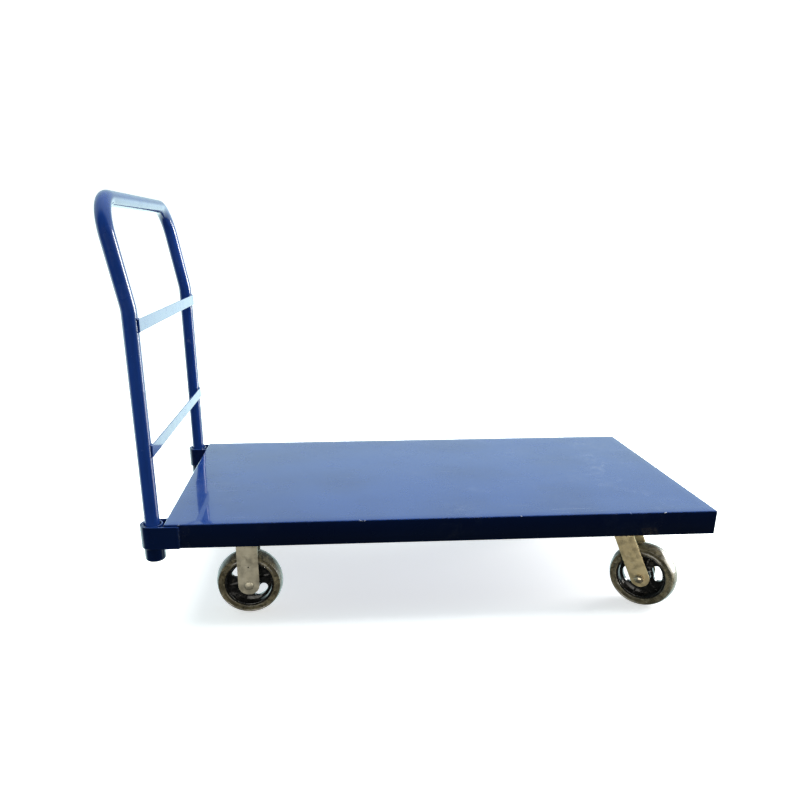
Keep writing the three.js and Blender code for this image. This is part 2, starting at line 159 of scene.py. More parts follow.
def edgeBand(tree, position, low, high):
    # one along the box's upper edges, where they get knocked, and nought inland
    bands = []
    for axis in (0, 1):
        offset = addNode(tree, "ShaderNodeMath", operation="SUBTRACT")
        offset.inputs[1].default_value = (low[axis] + high[axis]) / 2
        join(tree, axisOf(tree, position, "XYZ"[axis]), offset.inputs[0])
        reach = addNode(tree, "ShaderNodeMath", operation="ABSOLUTE")
        join(tree, offset.outputs[0], reach.inputs[0])
        half = (high[axis] - low[axis]) / 2
        bands.append(ramp(tree, reach.outputs[0], half - 0.0035, half - 0.0012))
    upper = ramp(tree, axisOf(tree, position, "Z"), high[2] - 0.0036, high[2] - 0.0018)
    return combine(tree, "MULTIPLY", combine(tree, "MAXIMUM", *bands), upper)


paintLook = {
    "colour": (0.0085, 0.034, 0.165),
    "deepColour": (0.006, 0.026, 0.135),
    "dustColour": (0.42, 0.46, 0.52),
    "primerColour": (0.55, 0.58, 0.62),
    "roughness": (0.16, 0.30),
    "coatRoughness": 0.035,
    "coatIor": 1.5,
    "orangePeelScale": 210.0,
    "rippleScale": 13.0,
    "rippleStrength": 0.15,
    "bumpDistance": 0.0006,
    "dustRoughness": 0.35,
    "chipScale": 70.0,
    "chipCut": (0.645, 0.70),
    "chipStrength": 0.75,
    "chipRoughness": 0.4,
    "scratchCut": (0.700, 0.735),
    # each set of hairlines: turn about Z, then how it is squeezed along each axis
    "scratchSets": ((0.35, (3, 190, 40)), (-0.7, (4, 260, 40)), (1.3, (5, 240, 40))),
}


def dustMarks(tree, position, strength):
    # specks and a thin film, gathered in patches
    patch = ramp(tree, noiseAt(tree, position, 3.2, 5, distortion=1.2), 0.50, 0.78)
    speck = ramp(tree, noiseAt(tree, position, 160.0, 4), 0.60, 0.74)
    film = ramp(tree, noiseAt(tree, position, 34.0, 6, distortion=0.8), 0.42, 0.80)
    marks = combine(tree, "MULTIPLY", patch, combine(tree, "ADD", speck, film))
    return combine(tree, "MULTIPLY", marks, strength)


def scratchMarks(tree, position, strength):
    lines = []
    for turn, stretch in paintLook["scratchSets"]:
        line = noiseAt(tree, position, 1.0, 2, stretch, (0, 0, turn))
        where = ramp(tree, noiseAt(tree, position, 4.5 + turn, 2), 0.52, 0.62)
        lines.append(combine(tree, "MULTIPLY", ramp(tree, line, *paintLook["scratchCut"]), where))
    hair = combine(tree, "MAXIMUM", combine(tree, "MAXIMUM", lines[0], lines[1]), lines[2])
    return combine(tree, "MULTIPLY", hair, strength)


def makePaint(name, dust=0.0, scratches=0.0, wornBox=None, peelStrength=0.03):
    # glossy stoved enamel with orange peel, dust and hairline scratches
    look = paintLook
    material, tree, shader, position = newMaterial(name)
    cloud = ramp(tree, noiseAt(tree, position, 5.0, 4), 0.35, 0.68)
    colour = blendColour(tree, cloud, look["colour"], look["deepColour"])
    rough = ramp(tree, noiseAt(tree, position, 26.0, 5), 0.3, 0.75, *look["roughness"])
    marks = None
    if dust:
        marks = dustMarks(tree, position, dust)
    if scratches:
        hair = scratchMarks(tree, position, scratches)
        marks = combine(tree, "MAXIMUM", marks, hair) if marks else hair
    if marks:
        colour = blendColour(tree, marks, colour, look["dustColour"])
        rough = combine(tree, "ADD", rough, combine(tree, "MULTIPLY", marks, look["dustRoughness"]))
    if wornBox:
        chips = noiseAt(tree, position, look["chipScale"], 5)
        chips = ramp(tree, chips, *look["chipCut"], 0.0, look["chipStrength"])
        worn = combine(tree, "MULTIPLY", edgeBand(tree, position, *wornBox), chips)
        colour = blendColour(tree, worn, colour, look["primerColour"])
        rough = combine(tree, "ADD", rough, combine(tree, "MULTIPLY", worn, look["chipRoughness"]))
    join(tree, colour, shader.inputs["Base Color"])
    join(tree, rough, shader.inputs["Roughness"])
    shader.inputs["IOR"].default_value = 1.5
    shader.inputs["Specular IOR Level"].default_value = 0.22
    shader.inputs["Coat Weight"].default_value = 1.0
    shader.inputs["Coat Roughness"].default_value = look["coatRoughness"]
    shader.inputs["Coat IOR"].default_value = look["coatIor"]
    ripple = noiseAt(tree, position, look["rippleScale"], 1)
    peel = noiseAt(tree, position, look["orangePeelScale"], 2)
    addBump(tree, shader, [(ripple, look["rippleStrength"]), (peel, peelStrength)], look["bumpDistance"])
    return material


zincLook = {
    "rigid": {"colour": (0.55, 0.515, 0.40), "stain": (0.48, 0.445, 0.335)},
    "swivel": {"colour": (0.70, 0.58, 0.34), "stain": (0.61, 0.50, 0.285)},
    "roughness": (0.34, 0.56),
    "metallic": 0.78,
}


def makeZinc(name, tone):
    # yellowish zinc plate: cloudy passivation, rolling lines and fine scuffs
    look = zincLook[tone]
    material, tree, shader, position = newMaterial(name)
    cloud = ramp(tree, noiseAt(tree, position, 38.0, 5, distortion=0.6), 0.38, 0.72)
    colour = blendColour(tree, cloud, look["colour"], look["stain"])
    grime = ramp(tree, noiseAt(tree, position, 130.0, 5), 0.60, 0.80, 0.0, 0.55)
    colour = blendColour(tree, grime, colour, (0.16, 0.13, 0.08))
    lines = noiseAt(tree, position, 1.0, 3, (900, 900, 60))
    scuff = ramp(tree, noiseAt(tree, position, 1.0, 2, (60, 60, 700), (0.4, 0.3, 0.0)), 0.66, 0.74)
    colour = blendColour(tree, combine(tree, "MULTIPLY", scuff, 0.5), colour, (0.78, 0.76, 0.70))
    rough = ramp(tree, noiseAt(tree, position, 70.0, 4), 0.3, 0.7, *zincLook["roughness"])
    join(tree, colour, shader.inputs["Base Color"])
    join(tree, rough, shader.inputs["Roughness"])
    shader.inputs["Metallic"].default_value = zincLook["metallic"]
    addBump(tree, shader, [(lines, 0.10), (noiseAt(tree, position, 420.0, 3), 0.10)], 0.0003)
    return material


steelLook = {"colour": (0.60, 0.53, 0.39), "stain": (0.26, 0.21, 0.12), "roughness": (0.26, 0.42)}


def makeSteel(name):
    material, tree, shader, position = newMaterial(name)
    cloud = ramp(tree, noiseAt(tree, position, 110.0, 5), 0.42, 0.74)
    colour = blendColour(tree, cloud, steelLook["colour"], steelLook["stain"])
    rough = ramp(tree, noiseAt(tree, position, 200.0, 4), 0.3, 0.7, *steelLook["roughness"])
    join(tree, colour, shader.inputs["Base Color"])
    join(tree, rough, shader.inputs["Roughness"])
    shader.inputs["Metallic"].default_value = 0.95
    addBump(tree, shader, [(noiseAt(tree, position, 600.0, 3), 0.10)], 0.0002)
    return material


rubberLook = {
    "colour": (0.040, 0.035, 0.021),
    "dusty": (0.105, 0.093, 0.058),
    "dark": (0.012, 0.011, 0.007),
    "pale": (0.30, 0.28, 0.21),
    "roughness": (0.18, 0.36),
}


def makeRubber(name, centre):
    # moulded hard rubber: mottled with trodden dust, darker in streaks, polished by the floor
    material, tree, shader, position = newMaterial(name)
    mapping = addNode(tree, "ShaderNodeMapping")
    mapping.inputs["Location"].default_value = [-value for value in centre]
    join(tree, position, mapping.inputs["Vector"])
    local = mapping.outputs["Vector"]
    mottle = ramp(tree, noiseAt(tree, local, 42.0, 6, distortion=1.4), 0.36, 0.70)
    colour = blendColour(tree, mottle, rubberLook["colour"], rubberLook["dusty"])
    streak = ramp(tree, noiseAt(tree, local, 95.0, 5, distortion=2.0), 0.52, 0.68, 0.0, 0.85)
    colour = blendColour(tree, streak, colour, rubberLook["dark"])
    pale = ramp(tree, noiseAt(tree, local, 240.0, 4, distortion=1.0), 0.66, 0.76, 0.0, 0.8)
    colour = blendColour(tree, pale, colour, rubberLook["pale"])
    rough = ramp(tree, noiseAt(tree, local, 60.0, 4), 0.3, 0.7, *rubberLook["roughness"])
    join(tree, colour, shader.inputs["Base Color"])
    join(tree, rough, shader.inputs["Roughness"])
    shader.inputs["IOR"].default_value = 1.52
    lumps = noiseAt(tree, local, 75.0, 4, distortion=1.0)
    grain = noiseAt(tree, local, 420.0, 3)
    addBump(tree, shader, [(lumps, 0.22), (grain, 0.18)], 0.0006)
    return material


coreLook = {"colour": (0.004, 0.004, 0.004), "dust": (0.045, 0.041, 0.033), "roughness": (0.12, 0.34)}


def makeCore(name):
    # black-painted casting with settled dust
    material, tree, shader, position = newMaterial(name)
    dust = ramp(tree, noiseAt(tree, position, 60.0, 6, distortion=0.8), 0.56, 0.80, 0.0, 0.8)
    colour = blendColour(tree, dust, coreLook["colour"], coreLook["dust"])
    rough = ramp(tree, noiseAt(tree, position, 90.0, 4), 0.35, 0.70, *coreLook["roughness"])
    join(tree, colour, shader.inputs["Base Color"])
    join(tree, rough, shader.inputs["Roughness"])
    shader.inputs["Coat Weight"].default_value = 0.5
    shader.inputs["Coat Roughness"].default_value = 0.12
    addBump(tree, shader, [(noiseAt(tree, position, 260.0, 4), 0.22)], 0.0005)
    return material


def roundedLoop(corners, steps=6):
    # corners are (x, y, radius), anticlockwise; returns the outline's points
    points = []
    count = len(corners)
    for i, (x, y, radius) in enumerate(corners):
        here = Vector((x, y))
        back = (Vector(corners[i - 1][:2]) - here).normalized()
        ahead = (Vector(corners[(i + 1) % count][:2]) - here).normalized()
        if radius <= 0:
            points.append(here)
            continue
        half = back.angle(ahead) / 2
        reach = radius / math.tan(half)
        centre = here + (back + ahead).normalized() * (radius / math.sin(half))
        start = here + back * reach - centre
        end = here + ahead * reach - centre
        sweep = start.angle_signed(end, 0.0)
        for step in range(steps + 1):
            points.append(centre + Matrix.Rotation(-sweep * step / steps, 2) @ start)
    return points


def arcPoints(centre, radius, start, end, steps):
    return [
        Vector((centre[0] + radius * math.cos(start + (end - start) * i / steps),
                centre[1] + radius * math.sin(start + (end - start) * i / steps)))
        for i in range(steps + 1)
    ]


def addPlate(bm, loops, low, high, place=Matrix()):
    # loops[0] is the outline and the rest are holes, in X and Y; the thickness runs from low to high in Z
    flat = [point for loop in loops for point in loop]
    lower = [bm.verts.new(place @ Vector((p.x, p.y, low))) for p in flat]
    upper = [bm.verts.new(place @ Vector((p.x, p.y, high))) for p in flat]
    if len(loops) == 1:
        bm.faces.new(upper)
        bm.faces.new(list(reversed(lower)))
    else:
        for a, b, c in tessellate_polygon([[Vector((p.x, p.y, 0)) for p in loop] for loop in loops]):
            bm.faces.new((upper[a], upper[b], upper[c]))
            bm.faces.new((lower[c], lower[b], lower[a]))
    first = 0
    for loop in loops:
        for i in range(len(loop)):
            a, b = first + i, first + (i + 1) % len(loop)
            bm.faces.new((lower[a], lower[b], upper[b], upper[a]))
        first += len(loop)


def addLathe(bm, profile, segments, place=Matrix(), closed=True):
    # profile is (radius, height); a closed one is a ring, an open one runs from pole to pole
    rings = []
    for radius, height in profile:
        if radius < 1e-7:
            rings.append([bm.verts.new(place @ Vector((0, 0, height)))])
            continue
        rings.append([
            bm.verts.new(place @ Vector((radius * math.cos(a), radius * math.sin(a), height)))
            for a in (2 * math.pi * i / segments for i in range(segments))
        ])
    count = len(rings)
    for k in range(count if closed else count - 1):
        one, two = rings[k], rings[(k + 1) % count]
        for i in range(segments):
            j = (i + 1) % segments
            corners = [one[i % len(one)], one[j % len(one)], two[j % len(two)], two[i % len(two)]]
            kept = [v for n, v in enumerate(corners) if v not in corners[:n]]
            if len(kept) > 2:
                bm.faces.new(kept)


def softened(profile, radius, steps=3):
    # rounds every corner of a lathe profile a little
    return [(p.x, p.y) for p in roundedLoop([(x, y, radius) for x, y in profile], steps)]


def finishPiece(name, bm, material, body, replaced=(), edge=0.0, sharp=32.0):
    bmesh.ops.remove_doubles(bm, verts=bm.verts, dist=1e-6)
    bmesh.ops.recalc_face_normals(bm, faces=bm.faces)
    mesh = bpy.data.meshes.new(name)
    bm.to_mesh(mesh)
    bm.free()
    return placePiece(name, mesh, material, body, replaced, edge, sharp)


def placePiece(name, mesh, material, body, replaced=(), edge=0.0, sharp=32.0):
    for polygon in mesh.polygons:
        polygon.use_smooth = True
    mesh.set_sharp_from_angle(angle=math.radians(sharp))
    mesh.materials.clear()
    mesh.materials.append(material)
    piece = bpy.data.objects.new(name, mesh)
    bpy.context.scene.collection.objects.link(piece)
    if edge:
        bevel = piece.modifiers.new("edges", "BEVEL")
        bevel.width = edge
        bevel.segments = 2
        bevel.limit_method = "ANGLE"
        bevel.angle_limit = math.radians(sharp)
        bevel.harden_normals = True
    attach(piece, body)
    if replaced:
        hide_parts(*replaced)
    return piece


def startTree(name, inputs):
    tree = bpy.data.node_groups.new(name, "GeometryNodeTree")
    tree.interface.new_socket("Geometry", in_out="INPUT", socket_type="NodeSocketGeometry")
    identifiers = {}
    for label, (kind, value) in inputs.items():
        socket = tree.interface.new_socket(label, in_out="INPUT", socket_type=kind)
        if value is not None:
            socket.default_value = value
        identifiers[label] = socket.identifier
    tree.interface.new_socket("Geometry", in_out="OUTPUT", socket_type="NodeSocketGeometry")
    groupIn = addNode(tree, "NodeGroupInput", (-900, 0))
    groupOut = addNode(tree, "NodeGroupOutput", (900, 0))
    return tree, groupIn, groupOut, identifiers


def endTree(tree, geometry, groupIn, groupOut):
    realize = addNode(tree, "GeometryNodeRealizeInstances", (500, 0))
    setMaterial = addNode(tree, "GeometryNodeSetMaterial", (700, 0))
    join(tree, geometry, realize.inputs["Geometry"])
    join(tree, realize.outputs["Geometry"], setMaterial.inputs["Geometry"])
    join(tree, groupIn.outputs["Finish"], setMaterial.inputs["Material"])
    join(tree, setMaterial.outputs["Geometry"], groupOut.inputs["Geometry"])


def runTree(tree, identifiers, mesh, values):
    # applies the tree to a mesh and hands back the plain result
    carrier = bpy.data.objects.new("carrier", mesh)
    bpy.context.scene.collection.objects.link(carrier)
    modifier = carrier.modifiers.new("nodes", "NODES")
    modifier.node_group = tree
    for label, value in values.items():
        modifier[identifiers[label]] = value
    bpy.context.view_layer.update()
    graph = bpy.context.evaluated_depsgraph_get()
    result = bpy.data.meshes.new_from_object(carrier.evaluated_get(graph))
    carrier.modifiers.remove(modifier)
    bpy.data.objects.remove(carrier)
    return result


def wireMesh(paths):
    # polylines as a mesh of loose edges
    mesh = bpy.data.meshes.new("path")
    points, edges = [], []
    for path in paths:
        first = len(points)
        points += [tuple(p) for p in path]
        edges += [(first + i, first + i + 1) for i in range(len(path) - 1)]
    mesh.from_pydata(points, edges, [])
    return mesh


def makeTubeTree():
    # a round tube swept along the incoming path
    tree, groupIn, groupOut, ids = startTree("bentTube", {
        "Radius": ("NodeSocketFloat", 0.016),
        "Sides": ("NodeSocketInt", 48),
        "Finish": ("NodeSocketMaterial", None),
    })
    toCurve = addNode(tree, "GeometryNodeMeshToCurve", (-600, 0))
    circle = addNode(tree, "GeometryNodeCurvePrimitiveCircle", (-600, -200))
    sweep = addNode(tree, "GeometryNodeCurveToMesh", (-300, 0))
    sweep.inputs["Fill Caps"].default_value = True
    join(tree, groupIn.outputs["Geometry"], toCurve.inputs[0])
    join(tree, groupIn.outputs["Radius"], circle.inputs["Radius"])
    join(tree, groupIn.outputs["Sides"], circle.inputs["Resolution"])
    join(tree, toCurve.outputs[0], sweep.inputs["Curve"])
    join(tree, circle.outputs["Curve"], sweep.inputs["Profile Curve"])
    smooth = addNode(tree, "GeometryNodeSetShadeSmooth", (0, 0))
    join(tree, sweep.outputs[0], smooth.inputs["Geometry"])
    endTree(tree, smooth.outputs[0], groupIn, groupOut)
    return tree, ids


def makeWeldTree():
    # a fillet weld: overlapping flattened drops along the incoming path
    tree, groupIn, groupOut, ids = startTree("weldBead", {
        "Width": ("NodeSocketFloat", 0.004),
        "Pitch": ("NodeSocketFloat", 0.0022),
        "Unevenness": ("NodeSocketFloat", 0.18),
        "Seed": ("NodeSocketInt", 4),
        "Finish": ("NodeSocketMaterial", None),
    })
    toCurve = addNode(tree, "GeometryNodeMeshToCurve", (-700, 0))
    points = addNode(tree, "GeometryNodeCurveToPoints", (-500, 0), mode="LENGTH")
    drop = addNode(tree, "GeometryNodeMeshIcoSphere", (-500, -250))
    drop.inputs["Subdivisions"].default_value = 2
    place = addNode(tree, "GeometryNodeInstanceOnPoints", (-200, 0))
    scatter = addNode(tree, "FunctionNodeRandomValue", (-500, -450), data_type="FLOAT_VECTOR")
    lowSize = addNode(tree, "ShaderNodeMath", (-700, -450), operation="SUBTRACT")
    highSize = addNode(tree, "ShaderNodeMath", (-700, -600), operation="ADD")
    halfWidth = addNode(tree, "ShaderNodeMath", (-700, -250), operation="MULTIPLY")
    halfWidth.inputs[1].default_value = 0.5
    lowSize.inputs[0].default_value = 1.0
    highSize.inputs[0].default_value = 1.0
    join(tree, groupIn.outputs["Geometry"], toCurve.inputs[0])
    join(tree, toCurve.outputs[0], points.inputs["Curve"])
    join(tree, groupIn.outputs["Pitch"], points.inputs["Length"])
    join(tree, groupIn.outputs["Width"], halfWidth.inputs[0])
    join(tree, halfWidth.outputs[0], drop.inputs["Radius"])
    join(tree, groupIn.outputs["Unevenness"], lowSize.inputs[1])
    join(tree, groupIn.outputs["Unevenness"], highSize.inputs[1])
    join(tree, lowSize.outputs[0], scatter.inputs["Min"])
    join(tree, highSize.outputs[0], scatter.inputs["Max"])
    join(tree, groupIn.outputs["Seed"], scatter.inputs["Seed"])
    join(tree, points.outputs["Points"], place.inputs["Points"])
    join(tree, points.outputs["Rotation"], place.inputs["Rotation"])
    join(tree, drop.outputs["Mesh"], place.inputs["Instance"])
    join(tree, scatter.outputs["Value"], place.inputs["Scale"])
    endTree(tree, place.outputs["Instances"], groupIn, groupOut)
    return tree, ids


def makeBoltTree():
    # hex bolts standing through a plate, one at each incoming point, with a nut
    tree, groupIn, groupOut, ids = startTree("plateBolts", {
        "Flats": ("NodeSocketFloat", 0.0143),
        "HeadHeight": ("NodeSocketFloat", 0.0063),
        "ShankRadius": ("NodeSocketFloat", 0.0048),
        "ShankLength": ("NodeSocketFloat", 0.027),
        "NutHeight": ("NodeSocketFloat", 0.008),
        "NutOffset": ("NodeSocketFloat", 0.012),
        "Turn": ("NodeSocketFloat", 3.14),
        "Seed": ("NodeSocketInt", 7),
        "Finish": ("NodeSocketMaterial", None),
    })

    def scaled(socket, factor, y):
        node = addNode(tree, "ShaderNodeMath", (-750, y), operation="MULTIPLY")
        node.inputs[1].default_value = factor
        join(tree, socket, node.inputs[0])
        return node.outputs[0]

    def lifted(mesh, height, y):
        offset = addNode(tree, "ShaderNodeCombineXYZ", (-350, y))
        move = addNode(tree, "GeometryNodeTransform", (-200, y))
        join(tree, height, offset.inputs["Z"])
        join(tree, mesh, move.inputs["Geometry"])
        join(tree, offset.outputs[0], move.inputs["Translation"])
        return move.outputs[0]

    def prism(radius, topRadius, depth, corners, y):
        cone = addNode(tree, "GeometryNodeMeshCone", (-550, y), fill_type="NGON")
        cone.inputs["Vertices"].default_value = corners
        join(tree, radius, cone.inputs["Radius Bottom"])
        join(tree, topRadius, cone.inputs["Radius Top"])
        join(tree, depth, cone.inputs["Depth"])
        return cone.outputs["Mesh"]

    given = groupIn.outputs
    corner = scaled(given["Flats"], 1 / math.sqrt(3), 300)
    flat = scaled(given["Flats"], 0.46, 200)
    head = prism(corner, corner, given["HeadHeight"], 6, 300)
    crownDepth = scaled(given["HeadHeight"], 0.12, 150)
    crown = prism(flat, scaled(flat, 0.9, 140), crownDepth, 24, 100)
    crown = lifted(crown, scaled(given["HeadHeight"], -0.12, 60), 100)
    shankTop = scaled(given["ShankRadius"], 0.97, -60)
    shank = prism(given["ShankRadius"], shankTop, given["ShankLength"], 20, -100)
    nut = lifted(prism(corner, corner, given["NutHeight"], 6, -300), given["NutOffset"], -300)
    both = addNode(tree, "GeometryNodeJoinGeometry", (0, 0))
    for mesh in (head, crown, shank, nut):
        join(tree, mesh, both.inputs[0])
    place = addNode(tree, "GeometryNodeInstanceOnPoints", (200, 0))
    turn = addNode(tree, "FunctionNodeRandomValue", (-100, -500), data_type="FLOAT")
    spin = addNode(tree, "ShaderNodeCombineXYZ", (50, -500))
    join(tree, groupIn.outputs["Turn"], next(s for s in turn.inputs if s.name == "Max" and s.type == "VALUE"))
    join(tree, groupIn.outputs["Seed"], turn.inputs["Seed"])
    join(tree, next(s for s in turn.outputs if s.type == "VALUE"), spin.inputs["Z"])
    join(tree, spin.outputs[0], place.inputs["Rotation"])
    join(tree, groupIn.outputs["Geometry"], place.inputs["Points"])
    join(tree, both.outputs[0], place.inputs["Instance"])
    endTree(tree, place.outputs["Instances"], groupIn, groupOut)
    return tree, ids


tubeTree, tubeIds = makeTubeTree()
weldTree, weldIds = makeWeldTree()
boltTree, boltIds = makeBoltTree()
print("node trees built")


deckLow, deckHigh = boxOf("deck_pan")
deckTop = deckHigh.z
deckPaint = makePaint("deckEnamel", dust=0.14, scratches=0.13, wornBox=(deckLow, deckHigh))
framePaint = makePaint("frameEnamel", dust=0.02, scratches=0.08, peelStrength=0.010)
weldPaint = makePaint("weldEnamel", dust=0.55)
zincRigid = makeZinc("zincRigidFork", "rigid")
zincSwivel = makeZinc("zincSwivelFork", "swivel")
fastenerSteel = makeSteel("fastenerSteel")
corePaint = makeCore("blackCasting")


deckShape = {
    "sheet": 0.003,
    "foldRadius": 0.0032,
    "cornerRadius": 0.0035,
    "cuts": (54, 27),
    "sag": 0.00055,
    "skirtWave": 0.0005,
}


def buildDeck():
    shape = deckShape
    bm = bmesh.new()
    size = deckHigh - deckLow
    centre = (deckHigh + deckLow) / 2
    bmesh.ops.create_cube(bm, size=1.0, matrix=Matrix.Translation(centre) @ Matrix.Diagonal((*size, 1.0)))
    upright = [e for e in bm.edges if abs(e.verts[0].co.z - e.verts[1].co.z) > 0.01]
    bmesh.ops.bevel(bm, geom=upright, offset=shape["cornerRadius"], segments=4, profile=0.5, affect="EDGES")
    rim = [e for e in bm.edges if all(abs(v.co.z - deckTop) < 1e-6 for v in e.verts)]
    bmesh.ops.bevel(bm, geom=rim, offset=shape["foldRadius"], segments=5, profile=0.5, affect="EDGES")
    bottom = [f for f in bm.faces if f.normal.z < -0.9 and abs(f.calc_center_median().z - deckLow.z) < 1e-6]
    bmesh.ops.delete(bm, geom=bottom, context="FACES_ONLY")
    for axis, cuts in enumerate(shape["cuts"]):
        normal = Vector((0, 0, 0))
        normal[axis] = 1.0
        for i in range(1, cuts):
            at = deckLow.copy()
            at[axis] = deckLow[axis] + size[axis] * i / cuts
            parts = bm.verts[:] + bm.edges[:] + bm.faces[:]
            bmesh.ops.bisect_plane(bm, geom=parts, plane_co=at, plane_no=normal)
    for v in bm.verts:
        x = min(v.co.x - deckLow.x, deckHigh.x - v.co.x)
        y = min(v.co.y - deckLow.y, deckHigh.y - v.co.y)
        inland = min(1.0, min(x, y) / 0.10)
        wave = noise.noise(Vector((v.co.x * 3.1, v.co.y * 3.7, 0.4))) + 0.5 * noise.noise(v.co * 9.0)
        dent = 0.6 * (1 + noise.noise(v.co * 5.0)) * shape["skirtWave"]
        if v.co.z > deckTop - 1e-4:
            v.co.z += shape["sag"] * (wave - 1.1) * inland
        elif y < 1e-4:
            v.co.y += dent * (1 if v.co.y < centre.y else -1)
        elif x < 1e-4:
            v.co.x += dent * (1 if v.co.x < centre.x else -1)
    bmesh.ops.recalc_face_normals(bm, faces=bm.faces)
    bm.normal_update()
    if max(bm.faces, key=lambda f: f.calc_center_median().z).normal.z < 0:
        bmesh.ops.reverse_faces(bm, faces=bm.faces)
    mesh = bpy.data.meshes.new("deck")
    bm.to_mesh(mesh)
    bm.free()
    deck = placePiece("deckPan", mesh, deckPaint, "deck", ("deck_pan",), sharp=60.0)
    wall = deck.modifiers.new("sheet", "SOLIDIFY")
    wall.thickness = shape["sheet"]
    wall.offset = -1.0
    return deck


channelShape = {"sheet": 0.003, "fold": 0.004, "edge": 0.0004}


def buildChannel(node):
    # a folded channel, open upwards
    low, high = boxOf(node)
    sheet, fold = channelShape["sheet"], channelShape["fold"]
    half = (high.x - low.x) / 2
    depth = high.z - low.z
    outline = roundedLoop([
        (-half, depth, 0), (-half, 0, fold), (half, 0, fold), (half, depth, 0),
        (half - sheet, depth, 0), (half - sheet, sheet, fold - sheet),
        (-half + sheet, sheet, fold - sheet), (-half + sheet, depth, 0),
    ])
    bm = bmesh.new()
    place = Matrix.Translation(((low.x + high.x) / 2, high.y, low.z)) @ Matrix.Rotation(math.pi / 2, 4, "X")
    addPlate(bm, [outline], 0, high.y - low.y, place)
    finishPiece(node, bm, framePaint, "deck", (node,), channelShape["edge"])


buildDeck()
for node in ("cross_channel_handle_end", "cross_channel_middle", "cross_channel_swivel_end"):
    buildChannel(node)
print("deck built")


socketShape = {
    "sleeveWall": 0.003,
    "floor": 0.004,
    "drain": 0.009,
    "footTaper": (0.0015, 0.003),  # inwards and upwards at the sleeve's lower rim
    "rounding": 0.0009,
    "strapSheet": 0.004,
    "strapEdge": 0.0009,
    "gap": 0.0003,
    "weldWidth": 0.0042,
    "weldPitch": 0.0021,
    "weldUnevenness": 0.25,
    "seamInset": 0.002,
    "seamSteps": 24,
    "seamWaver": (0.0011, 0.0004),  # at the lap's end and at the end skirt
    "ringSpan": (0.12, 0.76),  # of a half turn: where the ring weld starts and how far it goes
}


def seamUp(x, y, low, high, inset, steps, waver=None):
    # an upright seam; waver(i) moves each point sideways along X or Y
    rise = high - low - 2 * inset
    points = [Vector((x, y, low + inset + rise * i / steps)) for i in range(steps + 1)]
    if waver:
        for i, point in enumerate(points):
            point += waver(i)
    return points


def buildSleeve(side):
    shape = socketShape
    node = f"socket_sleeve_{side}"
    low, high = boxOf(node)
    centre = (low + high) / 2
    radius = (high.x - low.x) / 2
    inner = radius - shape["sleeveWall"]
    floor = low.z + shape["floor"]
    inwards, upwards = shape["footTaper"]
    profile = softened([
        (shape["drain"], low.z), (radius - inwards, low.z), (radius, low.z + upwards), (radius, high.z),
        (inner, high.z), (inner, floor), (shape["drain"], floor),
    ], shape["rounding"])
    bm = bmesh.new()
    addLathe(bm, profile, 72, Matrix.Translation((centre.x, centre.y, 0)))
    finishPiece(f"socketSleeve_{side}", bm, framePaint, "deck", (node,), sharp=40.0)
    return centre, radius


def buildStrap(side, centre):
    # along the side skirt, round the sleeve and back to the end skirt
    shape = socketShape
    node = f"socket_strap_{side}"
    sign = -1 if side == "right" else 1
    low, high = boxOf(node)
    outer = abs((low.y if sign < 0 else high.y) - centre.y)
    inner = outer - shape["strapSheet"]
    lap = high.x - centre.x
    butt = deckLow.x - shape["gap"] - centre.x
    outline = [Vector((lap, -outer)), Vector((lap, -inner))]
    outline += arcPoints((0, 0), inner, -math.pi / 2, -1.5 * math.pi, 32)
    outline += [Vector((butt, inner)), Vector((butt, outer))]
    outline += arcPoints((0, 0), outer, math.pi / 2, 1.5 * math.pi, 32)
    outline = [Vector((p.x, p.y * -sign)) for p in outline]
    bm = bmesh.new()
    addPlate(bm, [outline], low.z, high.z, Matrix.Translation((centre.x, centre.y, 0)))
    name = f"socketStrap_{side}"
    finishPiece(name, bm, framePaint, "deck", (node,), shape["strapEdge"], 40.0)
    return low, high, outer


def buildSocket(side):
    # both pieces, and the seams that hold them
    shape = socketShape
    sign = -1 if side == "right" else 1
    centre, radius = buildSleeve(side)
    low, high, outer = buildStrap(side, centre)

    def unevenly(i):
        return noise.noise(Vector((i * 0.9, sign * 3.1, 1.7)))

    lapWaver, buttWaver = shape["seamWaver"]
    skirtY = deckLow.y if sign < 0 else deckHigh.y
    upright = (low.z, high.z, shape["seamInset"], shape["seamSteps"])
    lapSeam = seamUp(high.x + 0.0004, skirtY + sign * 0.0012, *upright,
                     lambda i: Vector((lapWaver * unevenly(i), 0, 0)))
    buttSeam = seamUp(deckLow.x - 0.0012, centre.y - sign * (outer + 0.0006), *upright,
                      lambda i: Vector((0, buttWaver * unevenly(i), 0)))
    start, span = (math.pi * value for value in shape["ringSpan"])
    start += 0 if sign > 0 else math.pi
    ring = arcPoints(centre, radius + 0.0006, start, start + span, 30)
    return [lapSeam, buttSeam, [Vector((p.x, p.y, low.z - 0.0004)) for p in ring]]


def weldMesh(paths, shape, seed, finish):
    return runTree(weldTree, weldIds, wireMesh(paths), {
        "Width": shape["weldWidth"],
        "Pitch": shape["weldPitch"],
        "Unevenness": shape["weldUnevenness"],
        "Seed": seed,
        "Finish": finish,
    })


def buildWelds(name, paths, body, shape, seed, finish=None):
    finish = finish or weldPaint
    return placePiece(name, weldMesh(paths, shape, seed, finish), finish, body, sharp=180.0)


seams = [seam for side in sides for seam in buildSocket(side)]
buildWelds("socketWelds", seams, "deck", socketShape, 4)
print("sockets built")


handleShape = {
    "tubeRadius": 0.0159,
    "leanHeight": 0.447,
    "leanDegrees": 10.2,
    "leanRadius": 0.120,
    "cornerRadius": 0.072,
    "sides": 48,
    "barEdge": 0.0006,
    "weldWidth": 0.0036,
    "weldPitch": 0.0018,
    "weldUnevenness": 0.2,
    "seamSpread": 0.0055,
    "seamInset": 0.0012,
}


